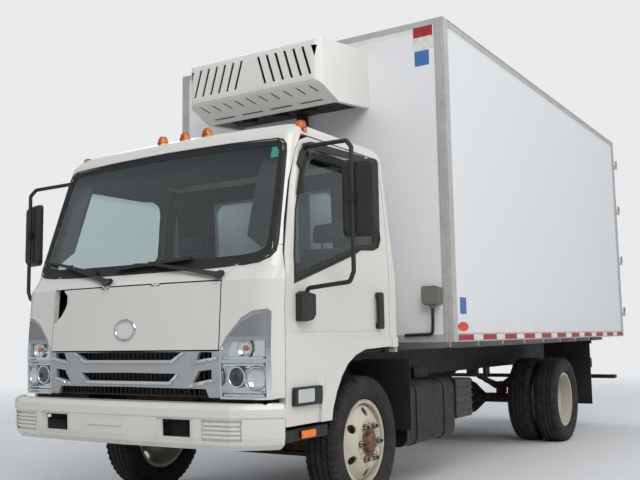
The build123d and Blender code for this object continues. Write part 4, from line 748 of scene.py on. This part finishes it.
def draped(name, outline, lay, lift, step, wall, *ending, **edges):
    """A piece that is one thin plate laid on a surface."""
    build = Build()
    build.patch(outline, lay, lift, step, wall)
    return build.piece(name, *ending, **edges)


def lathed(name, profile, centre, axis, steps, *ending):
    """A piece that is one turned shape."""
    build = Build()
    build.turned(profile, centre, axis, steps)
    return build.piece(name, *ending)


def blocks(name, corners, *ending, **edges):
    """A piece made of plain blocks."""
    build = Build()
    for x, y, z in corners:
        build.block(x, y, z)
    return build.piece(name, *ending, **edges)


def copies_tree():
    """Geometry nodes that repeat one piece along a line, or turn it about the truck's width."""
    tree = bpy.data.node_groups.new("copies", "GeometryNodeTree")
    face = tree.interface
    face.new_socket(name="Geometry", in_out="OUTPUT", socket_type="NodeSocketGeometry")
    for name, kind in (("Piece", "Object"), ("Count", "Int"), ("Start", "Vector"), ("Step", "Vector"),
                       ("Turn", "Float"), ("Finish", "Material")):
        face.new_socket(name=name, in_out="INPUT", socket_type="NodeSocket" + kind)
    nodes = Nodes(tree)
    given = nodes.add("NodeGroupInput").outputs
    row = nodes.add("GeometryNodeMeshLine", {"Count": given["Count"], "Start Location": given["Start"],
                                             "Offset": given["Step"]}).outputs[0]
    source = nodes.add("GeometryNodeObjectInfo", {"Object": given["Piece"]}).outputs["Geometry"]
    angle = nodes.times(nodes.add("GeometryNodeInputIndex").outputs[0], given["Turn"])
    turn = nodes.add("ShaderNodeCombineXYZ", {"X": angle}).outputs[0]
    placed = nodes.add("GeometryNodeInstanceOnPoints", {"Points": row, "Instance": source, "Rotation": turn})
    real = nodes.add("GeometryNodeRealizeInstances", {0: placed.outputs[0]}).outputs[0]
    closed = nodes.add("GeometryNodeMergeByDistance", {"Geometry": real, "Distance": 0.0001}).outputs[0]
    finish = nodes.add("GeometryNodeSetMaterial", {"Geometry": closed, "Material": given["Finish"]})
    nodes.add("NodeGroupOutput", {0: finish.outputs[0]})
    return tree


COPIES = copies_tree()


def copies(name, piece, count, body, start=(0, 0, 0), step=(0, 0, 0), turn=0.0):
    """Repeats a piece by the copies tree, as one plain mesh on a body."""
    item = put(name, bpy.data.meshes.new(name))
    maker = item.modifiers.new("copies", "NODES")
    maker.node_group = COPIES
    values = {"Piece": piece, "Count": count, "Start": Vector(start), "Step": Vector(step), "Turn": turn,
              "Finish": piece.data.materials[0]}
    for socket in COPIES.interface.items_tree:
        if socket.in_out == "INPUT":
            maker[socket.identifier] = values[socket.name]
    item = settled(item)
    bpy.data.objects.remove(piece)
    return dressed(item, body)


# Tyres: one pitch of the tread, repeated round the wheel

PITCHES = 58
PITCH_STEPS = 6
TREAD_R = 405
GROOVES = (-60, -21, 21, 60)
GROOVE_DEEP = 11
SLOT_DEEP = 9
BEAD = [(79.5, 262), (79.5, 250)]
WALL = [(95, 268), (101, 280), (107, 297), (109, 303), (111, 316), (112.4, 335), (112, 350), (110.5, 366)]


def tread_row(share):
    """The tyre's outline at one place in a pitch, as (across, radius) pairs."""
    zig = 4.5 * (1 - abs(share * 4 - 2))
    deep = SLOT_DEEP if 0.3 < share < 0.72 else 0
    left = flipped(WALL) + [(-106 + deep * 0.5, 380), (-101 + deep * 0.8, 388 - deep * 0.4),
                            (-91, 399 - deep), (-78, 403.8 - deep), (-68, 404.6)]
    middle = []
    for groove in GROOVES:
        at = groove + zig * (1 if groove in (-60, 21) else -1)
        low = TREAD_R - GROOVE_DEEP
        middle += [(at - 5.5, TREAD_R), (at - 3.5, low), (at + 3.5, low), (at + 5.5, TREAD_R)]
        if groove != GROOVES[-1]:
            middle += [(at + 16 + 0.2 * abs(groove), 405.4)]
    return left + middle + flipped(left[::-1])


def add_tyre(name, centre_x, axle_y, body):
    """One pitch of a truck tyre, with its shoulder slots and zigzag grooves, turned right round."""
    build = Build()
    rows = []
    for i in range(PITCH_STEPS + 1):
        turn = 2 * pi / PITCHES * i / PITCH_STEPS
        outline = flipped(BEAD[::-1]) + tread_row(i / PITCH_STEPS) + BEAD
        rows.append([Vector((x / 1000, r / 1000 * cos(turn), r / 1000 * sin(turn))) for x, r in outline])
    build.grid(rows, close_columns=True)
    return copies(name, build.piece("tyre_pitch", TYRE), PITCHES, body,
                  start=(centre_x / 1000, axle_y, TYRE_R), turn=2 * pi / PITCHES)


def add_tyres():
    for hand, side in HANDS:
        for name, x, axle_y, body, node in (
                ("front_tread", 832.5, AXLE_Y, "front_wheel", "front_tyre"),
                ("rear_tread_outer", 955, REAR_AXLE_Y, "rear_wheels", "rear_tyres"),
                ("rear_tread_inner", 695, REAR_AXLE_Y, "rear_wheels", "rear_tyres")):
            tyre = add_tyre(f"{name}_{hand}", side * x, axle_y, f"{hand}_{body}")
            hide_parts(f"{node}_{hand}")


# Wheels: nuts on their studs

STUD_RADIUS = 0.1111


def add_wheel_fittings():
    for hand, side in HANDS:
        for name, axle_y, face, body in (("front", AXLE_Y, 950.5, "front_wheel"),
                                         ("rear", REAR_AXLE_Y, 849, "rear_wheels")):
            build = Build()
            nut = Vector((side * face / 1000, STUD_RADIUS, 0))
            build.turned([(0, 21), (3, 21), (3.5, 18), (20, 18), (24, 15.5), (24, 10)], nut, (side, 0, 0), 6)
            build.turned([(24, 10), (33, 10), (35, 8), (35, 0.001)], nut, (side, 0, 0), 10)
            copies(f"wheel_nuts_{name}_{hand}", build.piece("wheel_nut", IRON), 6, f"{hand}_{body}",
                   start=(0, axle_y, TYRE_R), turn=pi / 3)


# The windshield's border, the side windows' rubbers and the doors' visors

WINDSHIELD_OUTER = [(0, 1439), (500, 1442), (760, 1450), (870, 1463), (918, 1484), (941, 1520), (942, 1580),
                    (924, 1800), (899, 2100), (890, 2150), (868, 2180), (826, 2194), (500, 2205), (0, 2211)]
WINDSHIELD_INNER = [(0, 1500), (500, 1503), (740, 1510), (828, 1521), (868, 1540), (885, 1570), (886, 1606),
                    (872, 1800), (849, 2080), (842, 2118), (826, 2140), (794, 2152), (500, 2160), (0, 2165)]
SIDE_WINDOW = [(-850, 1362), (-840, 1500), (-790, 1750), (-715, 1960), (-655, 2085), (-600, 2120),
               (60, 2120), (130, 2085), (160, 2020), (165, 1680), (130, 1630), (60, 1608), (-100, 1596),
               (-190, 1560)]
RUBBER_LIFTS = ((0.0, -1.5), (0.0, 2.5), (0.06, 5.0), (0.3, 5.0), (0.45, 3.0), (1.0, 2.2), (1.0, -3.0))
VISOR_EDGE = [(-775, 1850), (-742, 1945), (-700, 2040), (-666, 2100), (-620, 2134), (-480, 2138),
              (-240, 2138), (0, 2136), (62, 2132)]
VISOR_LIP = [(-762, 1848), (-716, 1935), (-668, 2018), (-632, 2064), (-590, 2086), (-470, 2090),
             (-240, 2092), (0, 2094), (58, 2106)]
VENT_CORNERS = [(-896, 1762), (-877, 1762), (-831, 1930), (-849, 1930)]


def add_window_rubbers():
    build = Build()
    outer, inner = finer(45, ring(WINDSHIELD_OUTER), ring(WINDSHIELD_INNER))
    build.band(outer, inner, on_front, RUBBER_LIFTS)
    build.piece("windshield_border", RUBBER, "cab", "black_plastic")
    for hand, side in HANDS:
        build = Build()
        outer, inner = finer(40, grown(SIDE_WINDOW, 12), grown(SIDE_WINDOW, -26))
        build.band(outer, inner, on_side(side), RUBBER_LIFTS)
        build.piece(f"window_rubber_{hand}", RUBBER, f"{hand}_door", "black_plastic")


def add_door_visors():
    """Smoked rain visors along the top of the side windows, and the black inserts of the pillar vents."""
    for hand, side in HANDS:
        lay = on_side(side)
        build = Build()
        build.grid([[lay(y, z, 2), lay(y, z, 16), lay((y * 2 + out_y) / 3, (z * 2 + out_z) / 3, 34),
                     lay(out_y, out_z, 48)] for (y, z), (out_y, out_z) in zip(VISOR_EDGE, VISOR_LIP)])
        build.piece(f"rain_visor_{hand}", GLOSS_BLACK, f"{hand}_door", "black_plastic", thick=3)
        corners = [lay(y, z, 1.5) for y, z in VENT_CORNERS]
        if None not in corners:
            build = Build()
            build.grid([corners[:2], [corners[3], corners[2]]])
            build.piece(f"vent_insert_{hand}", BLACK_PLASTIC, "cab", "black_plastic", smooth=False, thick=2)


# The grille's bright lips, the screen behind it and the plain badge

LIPS = (
    [(342, 942), (420, 986), (440, 982), (350, 926)],
    [(326, 824), (376, 868), (394, 862), (334, 808)],
)
SIDE_LIPS = (
    [(656, 961), (615, 954), (512, 941), (474, 917), (504, 922), (656, 947)],
    [(656, 848), (611, 840), (484, 818), (442, 791), (480, 797), (656, 832)],
)
BADGE_LIFTS = ((0, 0.3), (0.0, 5), (0.25, 9), (0.75, 9), (1.0, 5), (1.0, 0.3))


def add_bright_lips():
    build = Build()
    for lip in LIPS:
        build.patch(flipped(lip[1::-1]) + lip + flipped(lip[:1:-1]), on_front, 2.2, 16, 3)
    for lip in SIDE_LIPS:
        for outline in (lip, flipped(lip)):
            build.patch(outline, on_front, 2.2, 14, 3)
    build.piece("grille_lips", CHROME, "cab", "lamp_chrome")


def add_air_screen():
    """The dark air guide behind the grille, which keeps daylight from showing through the ribs."""
    blocks("air_screen", [((-430, 430), (-1044, -1040), (790, 1004))], BLACK_PLASTIC, "cab", "black_plastic",
           smooth=False)


def add_badge():
    """A plain oval ring with a bare middle."""
    build = Build()
    build.band(oval(-14, 1114, 86, 64), oval(-14, 1114, 70, 50), on_front, BADGE_LIFTS)
    build.piece("plain_badge_ring", CHROME, "front_lid", "lamp_chrome")


# Headlamps: the dark triangle, the bowls, the lens and the bulb

GARNISH = [(724, 1066), (803, 1145), (868, 1178), (942, 1187), (945, 1066)]
TURN_BOWL = [(0, 12), (4, 24), (12, 36), (26, 47), (28, 47), (27, 50), (10, 40), (-3, 24), (-3, 12)]
REFLECTOR = [(0, 20), (6, 40), (16, 56), (30, 66), (32, 66), (31, 69), (12, 60), (0, 44), (-4, 20)]
LENS_RING = [(0, 44), (10, 46), (14, 50), (14, 56), (8, 60), (-6, 60), (-6, 44)]
LENS_DOME = [(0, 44), (6, 43), (13, 38), (19, 30), (23, 18), (25, 6), (25.4, 0.01)]
BULB = [(0, 10), (12, 13), (20, 15), (28, 13), (33, 7), (34, 0.01)]
LAMP_BARS = ((752, 762), (912, 920), (950, 958))


def add_headlamps():
    for hand, side in HANDS:
        draped(f"lamp_garnish_{hand}", GARNISH if side == 1 else flipped(GARNISH), on_front, 2.5, 24, 3,
               DARK_SILVER, "cab", "grille_silver")
        lens = place(side * 760, -1060, 852)
        build = Build()
        build.turned(TURN_BOWL, place(side * 812, -1040, 1003), (0, -1, 0), 40)
        build.turned(REFLECTOR, place(side * 866, -1022, 846), (side * 0.25, -1, 0), 40)
        build.turned(LENS_RING, lens, (0, -1, 0), 48)
        for heights in LAMP_BARS:
            build.patch(panel(side, (684, 925), heights, 4), on_front, -8, 20, 22)
        build.piece(f"lamp_bowls_{hand}", CHROME, "cab", "lamp_chrome")
        lathed(f"projector_lens_{hand}", LENS_DOME, lens, (0, -1, 0), 40, PROJECTOR, "cab", "lens")
        lathed(f"turn_bulb_{hand}", BULB, place(side * 812, -1038, 1003), (0, -1, 0), 24, AMBER_PLASTIC,
               "cab", "amber_lens")


# Blank stickers, reflective film and rivets

TAPE_PITCH = 0.4513
RIVET = [(0, 7), (1.6, 6), (2.8, 3.5), (3.3, 0.01)]


def add_stickers():
    side_face = beside(1, BODY_FACE)
    for name, outline, lay, lift, film in (
            ("sticker_upper", rounded((980, 3096), (1140, 3279), 6), on_body_front, 0.5, TAPE_WHITE),
            ("sticker_upper_band", rounded((984, 3190), (1136, 3275), 5), on_body_front, 0.9, TAPE_RED),
            ("sticker_lower", rounded((990, 2978), (1104, 3090), 6), on_body_front, 0.5, BLUE_FILM),
            ("sticker_side", rounded((857, 1198), (971, 1315), 6), side_face, 0.5, BLUE_FILM),
            ("sticker_oval", oval(901, 1110, 111, 45), side_face, 0.5, TAPE_WHITE),
            ("sticker_oval_middle", oval(901, 1110, 96, 33), side_face, 0.9, ORANGE_FILM)):
        draped(name, outline, lay, lift, 40, 0.5, film, "chassis", "body_panel", smooth=False)
    draped("sticker_glass", rounded((795, 2075), (850, 2140), 3), on_front, 1.5, 20, 1, TEAL_FILM, "cab",
           "black_plastic", smooth=False)


def add_tape(name, low, high, lay, film, count, step):
    """A row of strips of film."""
    strip = draped("tape_strip", rounded(low, high, 2), lay, 0.7, 90, 0.6, film, smooth=False)
    copies(name, strip, count, "chassis", step=step)


def add_reflective_tape():
    """Red and white film in turn along the lower rails and the rear sill."""
    for hand, side in HANDS:
        for colour, film, start, long, count in (("red", TAPE_RED, 812, 268, 11),
                                                 ("white", TAPE_WHITE, 1082, 179, 10)):
            add_tape(f"tape_{colour}_{hand}", (start, 1016), (start + long, 1055),
                     beside(side, RAIL_FACE), film, count, (0, TAPE_PITCH, 0))
    for colour, film, start in (("red", TAPE_RED, -1100), ("white", TAPE_WHITE, -820)):
        add_tape(f"tape_rear_{colour}", (start, 1040), (start + 276, 1080), behind(), film, 4, (0.56, 0, 0))


def add_rivets():
    """Domed rivets along the aluminium rails and corner posts."""
    for hand, side in HANDS:
        rail, out = side * RAIL_FACE, (side, 0, 0)
        for name, spot, axis, count, step in (
                ("top", (rail, 830, 3262), out, 40, (0, 0.12, 0)),
                ("bottom", (rail, 830, 1060), out, 40, (0, 0.12, 0)),
                ("post", (rail, 775, 1090), out, 22, (0, 0, 0.1)),
                ("front_post", (side * 1183, WALL_FACE - 3, 1090), (0, -1, 0), 22, (0, 0, 0.1))):
            rivet = lathed("rivet", RIVET, place(*spot), axis, 8, ALUMINIUM)
            copies(f"rivets_{name}_{hand}", rivet, count, "chassis", step=step)


# The load space: leaf seals, floor ribs and the evaporator's fan guards

SEAL_LIFTS = ((0.0, -1.0), (0.1, 3.0), (0.5, 4.5), (0.9, 3.0), (1.0, -1.0))


def add_load_space():
    for hand, side in HANDS:
        build = Build()
        outer = panel(side, (12, 1107), (1128, 3176), 18)
        build.band(outer, grown(outer, -16), behind(), SEAL_LIFTS)
        build.piece(f"leaf_seal_{hand}", RUBBER, f"{hand}_leaf", "black_plastic")
    rib = blocks("rib", [((-1086, -1056), (900, 5530), (1114, 1138))], ALUMINIUM, smooth=False)
    copies("floor_ribs", rib, 37, "chassis", step=(0.0594, 0, 0))
    for name, x in (("left", 370), ("middle", 0), ("right", -370)):
        centre = place(x, 1068, 3010)
        lathed(f"fan_opening_{name}", [(-2, 132), (3, 132), (3, 0.01)], centre, (0, 1, 0), 40, RUBBER,
               "chassis", "black_plastic")
        build = Build()
        for reach in (30, 56, 82, 108, 134):
            build.tube([centre + Vector((cos(i * pi / 20), 0, sin(i * pi / 20))) * reach / 1000
                        + Vector((0, 0.012, 0)) for i in range(40)], 2.2, 6, closed=True)
        foot, crown = Vector((0, 0.004, 0)), Vector((0, 0.016, 0))
        for turn in range(4):
            out = Vector((cos(turn * pi / 4), 0, sin(turn * pi / 4))) * 0.14
            build.tube([centre + out + foot, centre + out * 0.98 + crown, centre - out * 0.98 + crown,
                        centre - out + foot], 2.4, 6)
        build.piece(f"fan_guard_{name}", ALUMINIUM, "chassis", "raw_aluminium")


# Mirrors: the silvered glass in each head

MIRROR_CORNER = (1226, -717)
MIRROR_TURN = 0.251
MIRROR_OUTLINE = rounded((12, 1597), (189, 2004), 22)


def on_mirror(side):
    """Gives points of a mirror's face, at a distance along it and a height."""
    def lay(across, z, lift):
        x = MIRROR_CORNER[0] + across * cos(MIRROR_TURN) + lift * -sin(MIRROR_TURN)
        y = MIRROR_CORNER[1] + across * sin(MIRROR_TURN) + lift * cos(MIRROR_TURN)
        return place(side * x, y, z)
    return lay


def add_mirror_glass():
    for hand, side in HANDS:
        draped(f"mirror_glass_{hand}", MIRROR_OUTLINE, on_mirror(side), -0.8, 60, 1.5, SILVERED,
               f"{hand}_door", "glass")


# Lamps on the doors, the steps and the rear

STEP_LAMP_FACE = 985


def add_small_lamps():
    for hand, side in HANDS:
        draped(f"side_lamp_lens_{hand}", rounded((-866, 706), (-702, 778), 9), on_side(side, TRIM_SKIN),
               3, 30, 8, FROSTED, f"{hand}_door", "lens")
        draped(f"step_lamp_lens_{hand}", rounded((-799, 515), (-663, 555), 8), beside(side, STEP_LAMP_FACE),
               6, 30, 6, AMBER_PLASTIC, "cab", "amber_lens", bevel=1.5)
        for name, across, glass in (("inner", (574, 652), RED_LENS), ("middle", (662, 740), AMBER),
                                    ("outer", (750, 826), RED_LENS)):
            draped(f"tail_lens_{name}_{hand}", panel(side, across, (646, 754), 8), behind(20), 9, 30, 9,
                   glass, "chassis", "amber_lens", bevel=2)
    build = Build()
    for x in (-180, 0, 180):
        build.patch(rounded((x - 31, 3265), (x + 31, 3287), 9), behind(14), 5, 20, 5)
    build.piece("rear_markers", RED_LENS, "chassis", "amber_lens", bevel=1)
    build = Build()
    build.patch(rounded((-152, 574), (152, 726), 10), behind(8), 2, 60, 3)
    build.block((-90, 90), (REAR_FACE - 10, REAR_FACE + 7), (560, 640))
    build.piece("blank_plate", TAPE_WHITE, "chassis", "body_panel", smooth=False)


# The cab's dark lining, laid on the inner faces of its shell

def trim(name, sheets, finish=DARK_TRIM, body="cab", slot="black_plastic"):
    """A piece of lining made of one sheet or more, each as (skin, starts, direction, lift)."""
    build = Build()
    for skin, starts, ahead, lift in sheets:
        build.lining(skin, starts, Vector(ahead), lift)
    build.piece(name, finish, body, slot, thick=3)


def side_rays(x, along, up):
    """Starts of rays that leave an upright plane along the truck, each line from low to high."""
    return [[place(x, y, z) for z in spread(*up)] for y in spread(*along)]


def add_cab_lining():
    front, pillars = surface("cab_front"), surface("cab_sides")
    starts = [[place(x, y, 1900) for y in spread(-640, 300, 20)] for x in spread(-860, 860, 32)]
    trim("headliner", [(surface("cab_roof"), starts, (0, 0, 1), 8)], HEADLINING, slot="seat_cloth")
    starts = [[place(x, 0, z) for z in spread(1000, 2190, 42)] for x in spread(-880, 880, 60)]
    trim("rear_trim", [(surface("cab_rear_wall"), starts, (0, 1, 0), 6)])
    for hand, side in HANDS:
        starts = side_rays(side * 500, (-880, 240, 40), (600, 1352, 26))
        trim(f"door_card_{hand}", [(surface(f"door_{hand}"), starts, (side, 0, 0), 6)], body=f"{hand}_door")
        starts = side_rays(side * 500, (150, 330, 12), (1000, 2200, 40))
        trim(f"pillar_trim_{hand}", [(pillars, starts, (side, 0, 0), 6)])
    trim("front_pillar_trim", [(front, side_rays(side * 400, (-960, -680, 14), (1420, 2200, 34)),
                                (side, 0, 0), 5) for _, side in HANDS])
    for hand, side in HANDS:
        starts = [[place(side * (560 + 0.6 * reach), -640 + 0.8 * reach, z) for z in spread(1440, 2190, 32)]
                  for reach in spread(-110, 110, 20)]
        trim(f"pillar_corner_trim_{hand}", [(front, starts, (side * 0.8, -0.6, 0), 6)])


# Seats: padded cushions and backs, puffed by a cloth simulation

SEAM_DEEP = 0.007
SEAM_WIDE = 0.016
TOP = (2, 1)
FRONT = (1, -1)
BENCH_SEAMS = (-0.71, -0.43, -0.16)
HEADREST_RODS = (510, 650, -675, -565)


def pad_block(low, high, lean, crown):
    """A rounded block between two corners, its top leaning back and its broad faces crowned."""
    block = bmesh.new()
    bmesh.ops.create_cube(block, size=1.0)
    bmesh.ops.subdivide_edges(block, edges=block.edges, cuts=9, use_grid_fill=True)
    size = [h - l for l, h in zip(low, high)]
    thin = size.index(min(size))
    for vert in block.verts:
        share = vert.co.copy()
        bulge = 1.0
        for axis in range(3):
            if axis != thin:
                bulge *= 1 - (2 * abs(share[axis])) ** 4
        share[thin] *= 1 + crown * bulge
        for axis in range(3):
            other = [a for a in range(3) if a != axis]
            pull = (2 * abs(share[other[0]])) ** 6 + (2 * abs(share[other[1]])) ** 6
            share[axis] *= 1 - 0.045 * min(pull, 2)
        spot = [l + s * (0.5 + c) for l, s, c in zip(low, size, share)]
        spot[1] += lean * (0.5 + share[2])
        vert.co = place(*spot)
    return block


def sewn(item, cuts):
    """Presses sewn channels into a pad, each as (axis, place on it, the side that it shows on)."""
    for vert in item.data.vertices:
        for axis, where, (way, sign) in cuts:
            gap = abs(vert.co[axis] - where)
            if gap < SEAM_WIDE and vert.normal[way] * sign > 0.5:
                fall = (1 + cos(pi * gap / SEAM_WIDE)) / 2
                vert.co[way] -= sign * SEAM_DEEP * fall


def puffed(item, cap):
    """Blows a pad up by a cloth simulation, no point moving further than a cap in metres."""
    still = [v.co.copy() for v in item.data.vertices]
    cloth = item.modifiers.new("cloth", "CLOTH")
    cloth.settings.use_pressure = True
    cloth.settings.uniform_pressure_force = 4.0
    cloth.settings.effector_weights.gravity = 0.0
    for frame_number in range(1, 21):
        bpy.context.scene.frame_set(frame_number)
    item = settled(item)
    for vert, home in zip(item.data.vertices, still):
        moved = vert.co - home
        if moved.length > cap:
            vert.co = home + moved.normalized() * cap
    bpy.context.scene.frame_set(1)
    return item


def add_pad(name, low, high, lean, crown, cuts, cap=0.014):
    block = pad_block(low, high, lean, crown)
    data = bpy.data.meshes.new(name)
    block.to_mesh(data)
    block.free()
    item = put(name, data)
    remesh = item.modifiers.new("remesh", "REMESH")
    remesh.mode = "VOXEL"
    remesh.voxel_size = 0.014
    item = settled(item)
    item = puffed(item, cap)
    sewn(item, cuts)
    smooth = item.modifiers.new("round", "SUBSURF")
    smooth.levels = smooth.render_levels = 1
    item = settled(item)
    item.data.materials.clear()
    item.data.materials.append(CLOTH.material)
    item.data.shade_smooth()
    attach(item, "cab")
    return item


def add_seats():
    pads = []
    for who, x0, x1, seams, back_seams, head0, head1 in (
            ("driver", 345, 815, (0.43, 0.73), (0.44, 0.72), 455, 705),
            ("bench", -815, -55, BENCH_SEAMS, BENCH_SEAMS, -740, -500)):
        cuts = [(0, x, TOP) for x in seams] + [(1, AXLE_Y - 0.16, TOP)]
        pads.append(add_pad(f"{who}_cushion", (x0, -420, 1150), (x1, 50, 1240), 0, 0.25, cuts))
        cuts = [(0, x, FRONT) for x in back_seams] + [(2, 1.45, FRONT)]
        pads.append(add_pad(f"{who}_back", (x0 + 5, 65, 1190), (x1 - 5, 165, 1660), 70, 0.2, cuts))
        pads.append(add_pad(f"{who}_headrest", (head0, 140, 1690), (head1, 215, 1815), 14, 0.2, [], 0.008))
    build = Build()
    for across, feet in (((350, 810), (370, 800)), ((-810, -60), (-800, -370))):
        build.block(across, (-380, 60), (1121, 1152))
        build.block(feet, (-330, 150), (987, 1122))
    for x in HEADREST_RODS:
        build.tube([place(x, 190, 1640), place(x, 196, 1712)], 7)
    pads.append(build.piece("seat_bases", DARK_TRIM, "cab", "black_plastic", bevel=4))
    for pad in pads:
        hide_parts("seats")


add_tyres()
add_wheel_fittings()
add_window_rubbers()
add_door_visors()
add_bright_lips()
add_air_screen()
add_badge()
add_headlamps()
add_stickers()
add_reflective_tape()
add_rivets()
add_load_space()
add_mirror_glass()
add_small_lamps()
add_cab_lining()
add_seats()
